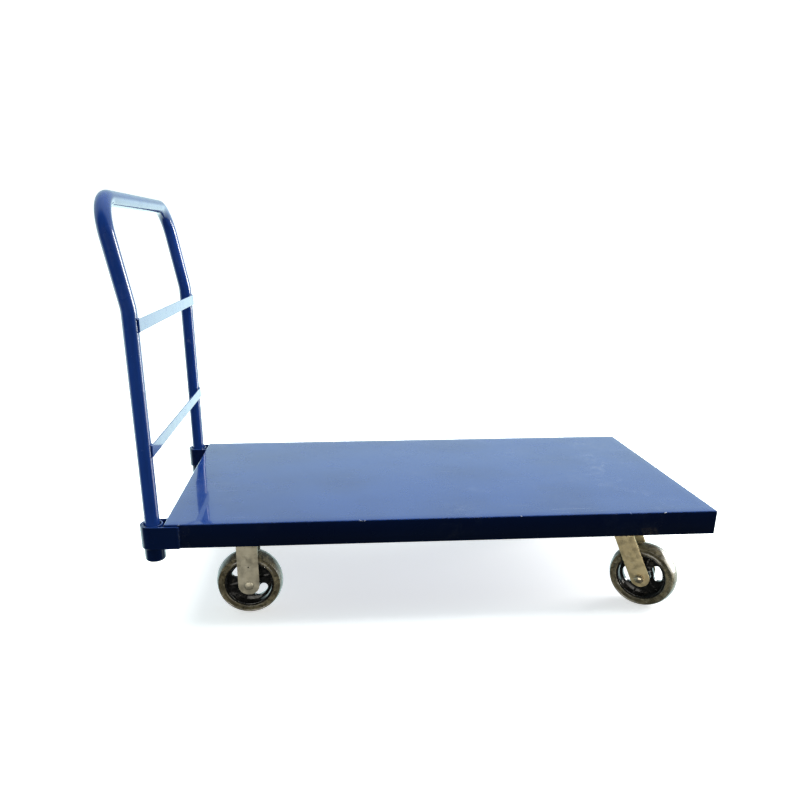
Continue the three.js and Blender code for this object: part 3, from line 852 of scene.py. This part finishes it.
def handlePath():
    # one foot, up the upright, back with the lean, over the top bar and down again
    shape = handleShape
    low, high = boxOf("handle_tube")
    radius = shape["tubeRadius"]
    lean = math.radians(shape["leanDegrees"])
    footX = high.x - radius
    footY = low.y + radius
    middleY = (low.y + high.y) / 2
    bend = Vector((footX, footY, deckTop + shape["leanHeight"]))
    reach = shape["leanRadius"] * math.tan(lean / 2)
    back = Vector((-math.sin(lean), 0, math.cos(lean)))
    length = (high.z - radius - bend.z) / math.cos(lean)
    half = [Vector((footX, footY, z)) for z in (low.z, deckTop + 0.1, deckTop + 0.3)]
    for i in range(9):
        angle = lean * i / 8
        along = shape["leanRadius"] * math.sin(angle) - reach
        half.append(bend + Vector((-shape["leanRadius"] * (1 - math.cos(angle)), 0, along)))
    corner = shape["cornerRadius"]
    for i in range(25):
        angle = math.pi / 2 * i / 24
        point = bend + back * (length - corner + corner * math.sin(angle))
        point.y += corner * (1 - math.cos(angle))
        half.append(point)
    return half + [Vector((p.x, 2 * middleY - p.y, p.z)) for p in reversed(half)]


def buildHandle():
    shape = handleShape
    mesh = runTree(tubeTree, tubeIds, wireMesh([handlePath()]), {
        "Radius": shape["tubeRadius"], "Sides": shape["sides"], "Finish": framePaint,
    })
    placePiece("handleTube", mesh, framePaint, "handle", ("handle_tube",), sharp=40.0)
    seams = []
    tubeLow, tubeHigh = boxOf("handle_tube")
    # an outline in Y and Z, thick along X
    sideways = Matrix(((0, 0, 1, 0), (1, 0, 0, 0), (0, 1, 0, 0), (0, 0, 0, 1)))
    for bar in ("crossbar_lower", "crossbar_upper"):
        low, high = boxOf(bar)
        corners = ((low.y, low.z), (high.y, low.z), (high.y, high.z), (low.y, high.z))
        outline = [Vector(corner) for corner in corners]
        bm = bmesh.new()
        addPlate(bm, [outline], low.x, high.x, sideways)
        finishPiece(bar, bm, framePaint, "handle", (bar,), shape["barEdge"])
        x = low.x - 0.0006
        for y, inward in ((tubeLow.y + shape["tubeRadius"], 1), (tubeHigh.y - shape["tubeRadius"], -1)):
            spread = shape["seamSpread"] * inward
            seams.append(seamUp(x, y + spread, low.z, high.z, shape["seamInset"], 12))
            for z in (high.z - 0.0002, low.z + 0.0002):
                seams.append([Vector((x, y + spread * (1 - i / 4), z)) for i in range(9)])
    buildWelds("crossbarWelds", seams, "handle", shape, 9)


buildHandle()
print("handle built")


wheelShape = {
    "tyreInner": 0.056,
    "tyreRadius": 0.0762,
    "halfTyre": 0.024,
    "treadCrown": 0.0057,
    "faceRecess": 0.0013,
    "rimWall": 0.005,
    "halfRim": 0.022,
    "halfWeb": 0.004,
    "hubRadius": 0.022,
    "halfHub": 0.025,
    "hubBore": 0.0152,
    "windows": 2,
    "windowInner": 0.026,
    "windowOuter": 0.045,
    "windowDegrees": 62,
    "windowMiddle": {"rigid": 45, "swivel": -15},  # degrees below the way the wheel trails
    "ribTurns": (60, 120, 240, 300),  # degrees past the first window's middle
    "rib": (0.002, 0.011, 0.0044),  # rise at the rim, height at the hub, thickness
    "draft": 0.0012,
    "hubDraft": 0.002,
    "rimRounding": 0.0009,
    "hubRounding": 0.0010,
    "bite": 0.001,  # how far the web and ribs run into the hub
    "segments": 112,
    "gap": 0.0003,
}


def wheelPlace(joint):
    # local Z along the axle, local X the way the wheel trails
    axle = Vector(joint["axis"]).normalized()
    ahead = Vector((axle.y, -axle.x, 0))
    turn = Matrix((ahead, Vector((0, 0, -1)), axle)).transposed().to_4x4()
    return Matrix.Translation(joint["pos_m"]) @ turn


def tyreProfile():
    # a raised lip by the rim, a sunk side face, and a crowned tread with a fine parting line
    shape = wheelShape
    inner, outer, half, fall = shape["tyreInner"], shape["tyreRadius"], shape["halfTyre"], shape["treadCrown"]
    crown = (half * half + fall * fall) / (2 * fall)
    face = outer - fall
    recess = shape["faceRecess"]
    # distances outwards from the rim and inwards from the side's plane
    lip = ((0.0, 0.0012), (0.0004, 0.0004), (0.0012, 0.0), (0.0030, 0.0), (0.0037, 0.0001))
    lip += ((0.0056, recess - 0.0001), (0.0063, recess))
    edge = ((-0.0040, recess), (-0.0032, recess - 0.0002), (-0.0018, 0.0002), (-0.0012, 0.0))
    edge += ((-0.0005, 0.0001), (-0.0001, 0.0004))
    one = [(inner, 0.0)]
    one += [(inner + out, half - deep) for out, deep in lip]
    one += [(face + out, half - deep) for out, deep in edge]
    for i in range(13):
        height = (half - 0.0010) * (1 - i / 13)
        one.append((outer - 0.0003 - crown + math.sqrt(crown * crown - height * height), height))
    one += [(outer - 0.0003, 0.0007), (outer, 0.0003)]
    mirrored = [(radius, -height) for radius, height in reversed(one) if height > 0]
    return one[1:] + mirrored


def kidney(startDegrees):
    shape = wheelShape
    middle = (shape["windowInner"] + shape["windowOuter"]) / 2
    end = (shape["windowOuter"] - shape["windowInner"]) / 2
    start = math.radians(startDegrees) + end / middle
    stop = math.radians(startDegrees + shape["windowDegrees"]) - end / middle
    endCentre = (middle * math.cos(stop), middle * math.sin(stop))
    startCentre = (middle * math.cos(start), middle * math.sin(start))
    points = arcPoints((0, 0), shape["windowOuter"], start, stop, 14)
    points += arcPoints(endCentre, end, stop, stop + math.pi, 10)[1:]
    points += arcPoints((0, 0), shape["windowInner"], stop, start, 14)[1:]
    points += arcPoints(startCentre, end, start + math.pi, start + 2 * math.pi, 10)[1:-1]
    return points


def buildTyre(caster, place, centre):
    bm = bmesh.new()
    addLathe(bm, tyreProfile(), wheelShape["segments"], place)
    rubber = makeRubber(f"hardRubber_{caster}", centre)
    node = f"tyre_{caster}"
    finishPiece(node, bm, rubber, f"wheel_{caster}", (node,), sharp=50.0)


def buildCore(caster, place):
    # rim, hub and a pierced web with low ribs
    shape = wheelShape
    rimOuter = shape["tyreInner"] - shape["gap"]
    rimInner = rimOuter - shape["rimWall"]
    half, web, hub = shape["halfRim"], shape["halfWeb"], shape["hubRadius"]
    hubHalf, bore, draft = shape["halfHub"], shape["hubBore"], shape["draft"]
    rimEnd, rimRoot = rimInner + draft / 2, rimInner - draft
    hubEnd = hub - shape["hubDraft"]
    bm = bmesh.new()
    rim = [(rimOuter, -half), (rimOuter, half), (rimEnd, half)]
    rim += [(rimRoot, web), (rimRoot, -web), (rimEnd, -half)]
    addLathe(bm, softened(rim, shape["rimRounding"]), shape["segments"], place)
    boss = [(bore, -hubHalf), (hubEnd, -hubHalf), (hub, -web), (hub, web), (hubEnd, hubHalf), (bore, hubHalf)]
    addLathe(bm, softened(boss, shape["hubRounding"]), 72, place)
    rimEdge = arcPoints((0, 0), rimInner, 0, 2 * math.pi, 96)[:-1]
    hubEdge = list(reversed(arcPoints((0, 0), hub - shape["bite"], 0, 2 * math.pi, 48)[:-1]))
    middle = shape["windowMiddle"][caster.split("_")[0]]
    firstWindow = middle - shape["windowDegrees"] / 2
    step = 360 / shape["windows"]
    windows = [list(reversed(kidney(firstWindow + i * step))) for i in range(shape["windows"])]
    addPlate(bm, [rimEdge, hubEdge] + windows, -web, web, place)
    outerRise, innerHeight, thickness = shape["rib"]
    for degrees in shape["ribTurns"]:
        turn = place @ Matrix.Rotation(math.radians(middle + degrees), 4, "Z")
        upended = turn @ Matrix.Translation((0, thickness / 2, 0)) @ Matrix.Rotation(math.pi / 2, 4, "X")
        for face in (-1, 1):
            corners = ((hub - shape["bite"], web), (rimInner, web), (rimInner, web + outerRise))
            corners += ((hub - shape["bite"], innerHeight),)
            addPlate(bm, [[Vector((x, y * face)) for x, y in corners]], 0, thickness, upended)
    node = f"wheel_core_{caster}"
    finishPiece(f"wheelCore_{caster}", bm, corePaint, f"wheel_{caster}", (node,), 0.0006, 35.0)


def buildWheel(caster, joint):
    place = wheelPlace(joint)
    buildTyre(caster, place, joint["pos_m"])
    buildCore(caster, place)


for kind in ("rigid", "swivel"):
    for side in sides:
        buildWheel(f"{kind}_{side}", joints[f"wheel_spin_{kind}_{side}"])
print("wheels built")


casterShape = {
    "forkSheet": 0.004,
    "forkGap": 0.054,
    "rigidLegWidth": 0.048,
    "swivelLegWidth": 0.044,
    "tipRadius": 0.0225,
    "edge": 0.0007,
    "plateCorner": 0.009,
    "bite": 0.001,  # how far the legs run into the plate above
    "weldWidth": 0.0044,
    "weldPitch": 0.0026,
    "weldUnevenness": 0.15,
    "markHole": 0.0018,
    "markPlace": (0.001, 0.046),  # ahead of the axle and above it
    "pinHole": 0.0068,
    "crownCorner": 0.002,
    "collar": (0.030, 0.036),  # radius underneath and on top
    "collarDrop": 0.0004,
    "collarRise": 0.0015,
    "collarRounding": 0.0006,
}


def casterPlace(joint, centre):
    axle = Vector(joint["axis"]).normalized()
    ahead = Vector((axle.y, -axle.x, 0))
    turn = Matrix((ahead, Vector((-ahead.y, ahead.x, 0)), Vector((0, 0, 1)))).transposed().to_4x4()
    return Matrix.Translation((centre[0], centre[1], 0)) @ turn


def legOutline(half, tip, height, top, trail):
    # in X and Z: a round tip about the axle and straight sides to the top
    rake = math.atan2(trail, top - height)
    points = []
    for i in range(25):
        angle = math.pi + math.pi * i / 24 + rake
        points.append(Vector((trail + half * math.cos(angle), height + tip * math.sin(angle))))
    level = half / math.cos(rake)
    points += [Vector((level, top)), Vector((-level, top))]
    return points


def addLegs(bm, outline, holes, place):
    shape = casterShape
    inner = shape["forkGap"] / 2
    upended = Matrix.Rotation(math.pi / 2, 4, "X")
    for low, high in ((-inner - shape["forkSheet"], -inner), (inner, inner + shape["forkSheet"])):
        addPlate(bm, [outline] + holes, low, high, place @ upended)


def platePlan(node):
    low, high = boxOf(node)
    r = casterShape["plateCorner"]
    return [(low.x, low.y, r), (high.x, low.y, r), (high.x, high.y, r), (low.x, high.y, r)]


def circleHole(x, z, radius, steps=20):
    return list(reversed(arcPoints((x, z), radius, 0, 2 * math.pi, steps)[:-1]))


def legSeams(place, half, outer, z):
    # one bead along the top of each leg
    seams = []
    for sign in (-1, 1):
        seam = [Vector((half * (i / 9 - 1) + 0.001, sign * outer, z)) for i in range(18)]
        seams.append([place @ point for point in seam])
    return seams


def buildRigidFork(side):
    shape = casterShape
    node = f"fork_rigid_{side}"
    top = boxOf(node)[1].z
    joint = joints[f"wheel_spin_rigid_{side}"]
    place = casterPlace(joint, joint["pos_m"])
    axleHeight = joint["pos_m"][2]
    plateLow = boxOf(f"top_plate_swivel_{side}")[0].z
    bm = bmesh.new()
    addPlate(bm, [roundedLoop(platePlan(node))], plateLow, top)
    half = shape["rigidLegWidth"] / 2
    outline = legOutline(half, shape["tipRadius"], axleHeight, plateLow + shape["bite"], 0.0)
    ahead, above = shape["markPlace"]
    addLegs(bm, outline, [circleHole(ahead, axleHeight + above, shape["markHole"], 14)], place)
    finishPiece(node, bm, zincRigid, "deck", (node,), shape["edge"], 35.0)
    outer = shape["forkGap"] / 2 + shape["forkSheet"]
    return legSeams(place, half, outer + 0.0004, plateLow - 0.0008)


def buildSwivelFork(side):
    shape = casterShape
    node = f"fork_swivel_{side}"
    joint = joints[f"wheel_spin_swivel_{side}"]
    pivot = joints[f"swivel_{side}"]["pos_m"]
    place = casterPlace(joint, pivot)
    axleHeight = joint["pos_m"][2]
    trail = math.hypot(joint["pos_m"][0] - pivot[0], joint["pos_m"][1] - pivot[1])
    crownTop = boxOf(node)[1].z
    crownLow = crownTop - shape["forkSheet"]
    half = shape["swivelLegWidth"] / 2
    bm = bmesh.new()
    addLegs(bm, legOutline(half, half, axleHeight, crownLow + shape["bite"], trail), [], place)
    outer = shape["forkGap"] / 2 + shape["forkSheet"]
    level = half / math.cos(math.atan2(trail, crownLow - axleHeight))
    corners = ((-level, -outer), (level, -outer), (level, outer), (-level, outer))
    crown = roundedLoop([(x, y, shape["crownCorner"]) for x, y in corners])
    addPlate(bm, [crown], crownLow, crownTop, place)
    hole = shape["pinHole"]
    under, over = shape["collar"]
    collarLow = crownLow - shape["collarDrop"]
    profile = [(hole, collarLow), (under, collarLow), (over, crownLow + shape["collarRise"])]
    profile += [(over, crownTop), (hole, crownTop)]
    addLathe(bm, softened(profile, shape["collarRounding"]), 80, place)
    finishPiece(node, bm, zincSwivel, node, (node,), shape["edge"], 35.0)
    return legSeams(place, level, outer + 0.0002, crownLow + 0.0004)


raceShape = {
    "foot": (0.003, 0.0012),  # the slope at the bottom rim, inwards and upwards
    "outline": ((0.0, 0.34), (0.004, 0.52), (0.0052, 0.70), (0.001, 0.84)),  # inset, share of the height
    "topInset": 0.001,
    "rounding": 0.0008,
}


def buildSwivelHead(side):
    # top plate, and the race with its rolled dust lip
    node = f"top_plate_swivel_{side}"
    low, high = boxOf(node)
    bm = bmesh.new()
    addPlate(bm, [roundedLoop(platePlan(node))], low.z, high.z)
    name = f"topPlate_{side}"
    finishPiece(name, bm, zincSwivel, "deck", (node,), casterShape["edge"])
    node = f"ball_race_swivel_{side}"
    low, high = boxOf(node)
    radius = (high.x - low.x) / 2
    height = high.z - low.z
    hole = casterShape["pinHole"]
    inwards, upwards = raceShape["foot"]
    profile = [(hole, low.z), (radius - inwards, low.z), (radius, low.z + upwards)]
    profile += [(radius - inset, low.z + height * share) for inset, share in raceShape["outline"]]
    profile += [(radius - raceShape["topInset"], high.z), (hole, high.z)]
    centre = Matrix.Translation(((low.x + high.x) / 2, (low.y + high.y) / 2, 0))
    bm = bmesh.new()
    addLathe(bm, softened(profile, raceShape["rounding"]), 80, centre)
    finishPiece(f"ballRace_{side}", bm, zincSwivel, "deck", (node,), sharp=40.0)


axleShape = {
    "radius": 0.0063,
    "flats": 0.019,
    "head": 0.0075,
    "tail": 0.004,
    "chamfer": 0.0009,
    "chamferShare": 0.86,
    "washer": 0.0010,
    "washerOverhang": 0.0008,
    "washerPlay": 0.0004,
    "rivetHead": 0.011,
    # radius and height of the rivet's dome, from its crown outwards
    "dome": (
        (0, 0.0034), (0.0022, 0.0035), (0.0036, 0.0030),
        (0.0058, 0.0031), (0.0082, 0.0025), (0.0100, 0.0014),
    ),
    "threadPitch": 0.0013,
    "threadRoot": (0.90, 0.88, 0.82),  # of the rod's radius: each groove, the last one, the tip
    "gap": 0.0003,
}


def addHex(bm, low, high, place):
    # a hexagon turned down to a cone at both ends
    shape = axleShape
    flat = shape["flats"] / 2
    corner = shape["flats"] / math.sqrt(3)
    corners = []
    for i in range(6):
        angle = math.pi / 3 * i
        corners.append(Vector((corner * math.cos(angle), corner * math.sin(angle))))
    steps = 6
    share, chamfer = shape["chamferShare"], shape["chamfer"]
    rings = []
    for height, most in ((low, share), (low + chamfer, 1.0), (high - chamfer, 1.0), (high, share)):
        points = []
        for i in range(6):
            for k in range(steps):
                p = corners[i].lerp(corners[(i + 1) % 6], k / steps)
                if most < 1.0 and p.length > flat:
                    p = p * max(flat / p.length, most)
                points.append(bm.verts.new(place @ Vector((p.x, p.y, height))))
        rings.append(points)
    count = 6 * steps
    for a, b in zip(rings, rings[1:]):
        for i in range(count):
            bm.faces.new((a[i], a[(i + 1) % count], b[(i + 1) % count], b[i]))
    bm.faces.new(rings[-1])
    bm.faces.new(list(reversed(rings[0])))


def threadProfile(radius, low, high, pitch):
    # a rod's outline with V grooves near its end
    groove, lastGroove, tip = axleShape["threadRoot"]
    count = max(1, int((high - low) / pitch))
    profile = []
    for i in range(count):
        z = low + pitch * i
        profile += [(radius * groove, z), (radius, z + pitch * 0.5)]
    return [(radius * tip, low)] + profile[1:] + [(radius * lastGroove, low + pitch * count)]


def buildRivet(caster, place, face):
    shape = axleShape
    radius = shape["radius"]
    dome = shape["dome"] + ((shape["rivetHead"], 0.0),)
    profile = [(r, -face - z) for r, z in dome] + [(radius, -face), (radius, face)]
    profile += [(r, face + z) for r, z in reversed(dome)]
    bm = bmesh.new()
    addLathe(bm, profile, 48, place, closed=False)
    node = f"axle_rivet_{caster}"
    finishPiece(f"axleRivet_{caster}", bm, zincRigid, "deck", (node,), sharp=50.0)


def buildBolt(caster, place, face):
    # the bolt with its grooved end, and the flanged nut
    shape = axleShape
    radius = shape["radius"]
    body = f"fork_{caster}"
    bm = bmesh.new()
    addHex(bm, face, face + shape["head"], place)
    end = face + shape["gap"] + shape["head"] + shape["tail"]
    profile = [(0, -end)] + threadProfile(radius, -end, -face, shape["threadPitch"])
    profile += [(radius, -face + 0.001), (radius, face), (0, face)]
    addLathe(bm, profile, 40, place, closed=False)
    node = f"axle_bolt_{caster}"
    finishPiece(f"axleBolt_{caster}", bm, fastenerSteel, body, (node,), sharp=40.0)
    bm = bmesh.new()
    addHex(bm, -face - shape["head"], -face - 0.0008, place)
    inner, rim = radius + shape["washerPlay"], shape["flats"] / 2 + shape["washerOverhang"]
    under = -face - shape["washer"]
    addLathe(bm, [(inner, under), (rim, under), (rim, -face), (inner, -face)], 48, place)
    node = f"axle_nut_{caster}"
    finishPiece(f"axleNut_{caster}", bm, fastenerSteel, body, (node,), sharp=40.0)


def buildAxles(kind, side):
    caster = f"{kind}_{side}"
    place = wheelPlace(joints[f"wheel_spin_{caster}"])
    face = casterShape["forkGap"] / 2 + casterShape["forkSheet"] + axleShape["gap"]
    (buildRivet if kind == "rigid" else buildBolt)(caster, place, face)


boltShape = {
    "flats": 0.0143,
    "head": 0.0063,
    "shankRadius": 0.0048,
    "nut": 0.008,
    "tail": 0.003,
    "edge": 0.0003,
}


def buildPlateBolts():
    nodes = []
    for kind in ("rigid", "swivel"):
        for side in sides:
            nodes += [f"plate_bolt_{kind}_{side}_{i}" for i in (1, 2, 3, 4)]
    points = []
    for node in nodes:
        low, high = boxOf(node)
        points.append(((low.x + high.x) / 2, (low.y + high.y) / 2, low.z))
    length = high.z - low.z
    mesh = bpy.data.meshes.new("boltPoints")
    mesh.from_pydata(points, [], [])
    bolts = runTree(boltTree, boltIds, mesh, {
        "Flats": boltShape["flats"],
        "HeadHeight": boltShape["head"],
        "ShankRadius": boltShape["shankRadius"],
        "ShankLength": length,
        "NutHeight": boltShape["nut"],
        "NutOffset": length - boltShape["tail"] - boltShape["nut"],
        "Turn": math.pi / 3,
        "Seed": 7,
        "Finish": fastenerSteel,
    })
    placePiece("plateBolts", bolts, fastenerSteel, "deck", nodes, boltShape["edge"], 35.0)


rigidSeams = []
for side in sides:
    rigidSeams += buildRigidFork(side)
    seams = buildSwivelFork(side)
    buildSwivelHead(side)
    for kind in ("rigid", "swivel"):
        buildAxles(kind, side)
    fork = f"fork_swivel_{side}"
    buildWelds(f"forkWelds_swivel_{side}", seams, fork, casterShape, 11, zincSwivel)
buildWelds("forkWelds_rigid", rigidSeams, "deck", casterShape, 12, zincRigid)
buildPlateBolts()
for node in frame["nodes"]:
    if node.startswith(("kingpin", "wheel_bearing", "axle_bushing")):
        carried = frame["nodes"][node]
        carried.data.materials.clear()
        carried.data.materials.append(fastenerSteel)
print("casters built")


studio = {
    "floorColour": (0.93, 0.93, 0.93),
    "flatFloor": 5.5,
    "floorSweep": 1.5,
    "domeHeight": 6.0,
    "skyTilt": 0.35,
    "skyTurn": (-0.25, 0.15),  # from the dark half to the bright one
    "skyColour": (0.73, 0.95, 0.96),
    "backRadiance": 0.80,
    "horizonRadiance": 1.70,
    "frontRadiance": 0.02,
    "overheadPower": 130.0,
    "sidePower": 60.0,
    "frontPower": 9.0,
    "handlePower": 70.0,
    "treadPower": 190.0,
    "streakPower": 60.0,
    "glintPower": 22.0,
    "casterFillPower": 26.0,
    "casterWarmth": (1.0, 0.97, 0.90),
    "floorGlow": (0.62, 1.0),
    "openFloor": (1.1, 3.0),
    "cameraOffset": (0.36208, -1.38493, 0.58534),  # from the deck's top corner at the handle end
    "pitch": 18.53,
    "yaw": 3.78,
    "lens": 31.25,
    "shift": (0.0298, 0.0839),
}


def areaLight(name, place, target, size, power, colour=(1, 1, 1), height=None):
    # a round lamp, or an upright window when a height is given
    data = bpy.data.lights.new(name, "AREA")
    data.shape = "RECTANGLE" if height else "DISK"
    data.size = size
    data.size_y = height or size
    data.energy = power
    data.color = colour
    lamp = bpy.data.objects.new(name, data)
    lamp.location = place
    lamp.rotation_euler = (Vector(target) - Vector(place)).to_track_quat("-Z", "Y").to_euler()
    bpy.context.scene.collection.objects.link(lamp)
    return lamp


def gathered(name, prefixes):
    # a collection of the pieces that a lamp is meant for
    collection = bpy.data.collections.new(name)
    for piece in bpy.context.scene.objects:
        if piece.name.startswith(prefixes):
            collection.objects.link(piece)
    return collection


def buildSky():
    world = bpy.data.worlds.new("studio")
    bpy.context.scene.world = world
    world.use_nodes = True
    tree = world.node_tree
    tree.nodes.clear()
    output = addNode(tree, "ShaderNodeOutputWorld", (600, 0))
    background = addNode(tree, "ShaderNodeBackground", (400, 0))
    direction = addNode(tree, "ShaderNodeTexCoord", (-600, 0)).outputs["Generated"]
    parts = addNode(tree, "ShaderNodeSeparateXYZ", (-400, 0))
    join(tree, direction, parts.inputs[0])
    # bright behind and overhead, dim towards the viewer and underfoot
    tilt = addNode(tree, "ShaderNodeMath", (-200, 0), operation="MULTIPLY_ADD")
    tilt.inputs[1].default_value = studio["skyTilt"]
    join(tree, parts.outputs["Z"], tilt.inputs[0])
    join(tree, parts.outputs["Y"], tilt.inputs[2])
    behind = ramp(tree, tilt.outputs[0], *studio["skyTurn"])
    low = ramp(tree, parts.outputs["Z"], 0.20, 0.0, studio["backRadiance"], studio["horizonRadiance"])
    level = addNode(tree, "ShaderNodeMix", data_type="FLOAT")
    level.inputs["A"].default_value = studio["frontRadiance"]
    join(tree, behind, level.inputs["Factor"])
    join(tree, low, level.inputs["B"])
    join(tree, level.outputs["Result"], background.inputs["Strength"])
    background.inputs["Color"].default_value = (*studio["skyColour"], 1)
    join(tree, background.outputs[0], output.inputs["Surface"])


def makeFloorFinish():
    material, tree, shader, position = newMaterial("paleFloor")
    shade = ramp(tree, noiseAt(tree, position, 0.6, 2), 0.3, 0.7)
    mottled = tuple(0.985 * c for c in studio["floorColour"])
    colour = blendColour(tree, shade, studio["floorColour"], mottled)
    distance = addNode(tree, "ShaderNodeVectorMath", operation="LENGTH")
    join(tree, position, distance.inputs[0])
    glow = ramp(tree, distance.outputs["Value"], *studio["openFloor"], *studio["floorGlow"])
    join(tree, colour, shader.inputs["Base Color"])
    join(tree, glow, shader.inputs["Emission Strength"])
    shader.inputs["Emission Color"].default_value = (1, 1, 1, 1)
    shader.inputs["Roughness"].default_value = 0.9
    shader.inputs["Specular IOR Level"].default_value = 0.1
    return material


def buildFloor():
    # a pale floor that sweeps up into a dome, lit evenly away from the cart
    flat, sweep, height = studio["flatFloor"], studio["floorSweep"], studio["domeHeight"]
    quarter = [math.pi / 2 * i / 12 for i in range(13)]
    profile = [(0, 0), (2, 0), (4, 0), (flat, 0)]
    profile += [(flat + sweep * math.sin(a), sweep - sweep * math.cos(a)) for a in quarter[1:]]
    profile += [((flat + sweep) * math.cos(a), sweep + height * math.sin(a)) for a in quarter[1:-1]]
    profile.append((0, sweep + height))
    bm = bmesh.new()
    addLathe(bm, profile, 96, closed=False)
    bmesh.ops.reverse_faces(bm, faces=bm.faces)
    mesh = bpy.data.meshes.new("floor")
    bm.to_mesh(mesh)
    bm.free()
    for polygon in mesh.polygons:
        polygon.use_smooth = True
    mesh.materials.append(makeFloorFinish())
    floor = bpy.data.objects.new("paleFloor", mesh)
    floor.visible_glossy = False
    floor.visible_diffuse = False
    floor.visible_shadow = False
    bpy.context.scene.collection.objects.link(floor)


def lightHandle():
    # a soft lamp from the front, and a tall window whose streak runs down the tube
    parts = gathered("handleParts", ("handleTube", "crossbar"))
    soft = areaLight("handleSoft", (-1.6, -3.0, 1.2), (-0.6, 0, 0.6), 1.6, studio["handlePower"])
    soft.visible_glossy = False
    power = studio["streakPower"]
    streak = areaLight("handleWindow", (2.8, 1.2, 0.75), (-0.6, 0, 0.75), 0.28, power, height=2.4)
    for lamp in (soft, streak):
        lamp.light_linking.receiver_collection = parts


def lightCasters():
    # a low fill, a window to one side for the treads and a small lamp for the wheels
    casters = ("tyre_", "wheelCore_", "fork", "axle", "topPlate_", "ballRace_", "plateBolts", "kingpin")
    casterParts = gathered("casterParts", casters)
    tyres = gathered("tyres", ("tyre_",))
    wheelParts = gathered("wheelParts", ("tyre_", "wheelCore_"))
    for name, place, size, power, receivers in (
        ("casterFill", (-0.9, -2.4, 0.5), 1.2, studio["casterFillPower"], casterParts),
        ("casterFillRight", (1.7, -1.9, 0.6), 1.2, studio["casterFillPower"], casterParts),
        ("treadWindow", (2.6, 0.1, 0.8), 2.0, studio["treadPower"], tyres),
        ("wheelGlint", (0.7, -2.4, 0.45), 0.22, studio["glintPower"], wheelParts),
    ):
        lamp = areaLight(name, place, (0.3, -0.2, 0.1), size, power, studio["casterWarmth"])
        lamp.light_linking.receiver_collection = receivers


def buildLamps():
    overhead = areaLight("overhead", (0.1, 0.5, 2.6), (0, 0, 0.2), 2.6, studio["overheadPower"])
    overhead.visible_glossy = False
    areaLight("sideSoft", (2.6, 0.9, 1.1), (0.45, -0.2, 0.1), 1.4, studio["sidePower"])
    frontSoft = areaLight("frontSoft", (-0.2, -3.2, 1.2), (-0.1, 0, 0.4), 3.0, studio["frontPower"])
    frontSoft.visible_glossy = False
    lightHandle()
    lightCasters()


def placeCamera():
    scene = bpy.context.scene
    camera = bpy.data.objects.new("camera", bpy.data.cameras.new("camera"))
    camera.data.lens = studio["lens"]
    camera.data.sensor_width = 36.0
    camera.data.shift_x, camera.data.shift_y = studio["shift"]
    corner = Vector((deckLow.x, deckLow.y, deckTop))
    camera.location = corner + Vector(studio["cameraOffset"])
    camera.rotation_euler = (math.radians(90 - studio["pitch"]), 0, -math.radians(studio["yaw"]))
    scene.collection.objects.link(camera)
    scene.camera = camera
    scene.view_settings.view_transform = "Standard"


buildSky()
buildFloor()
buildLamps()
placeCamera()
print("studio built")
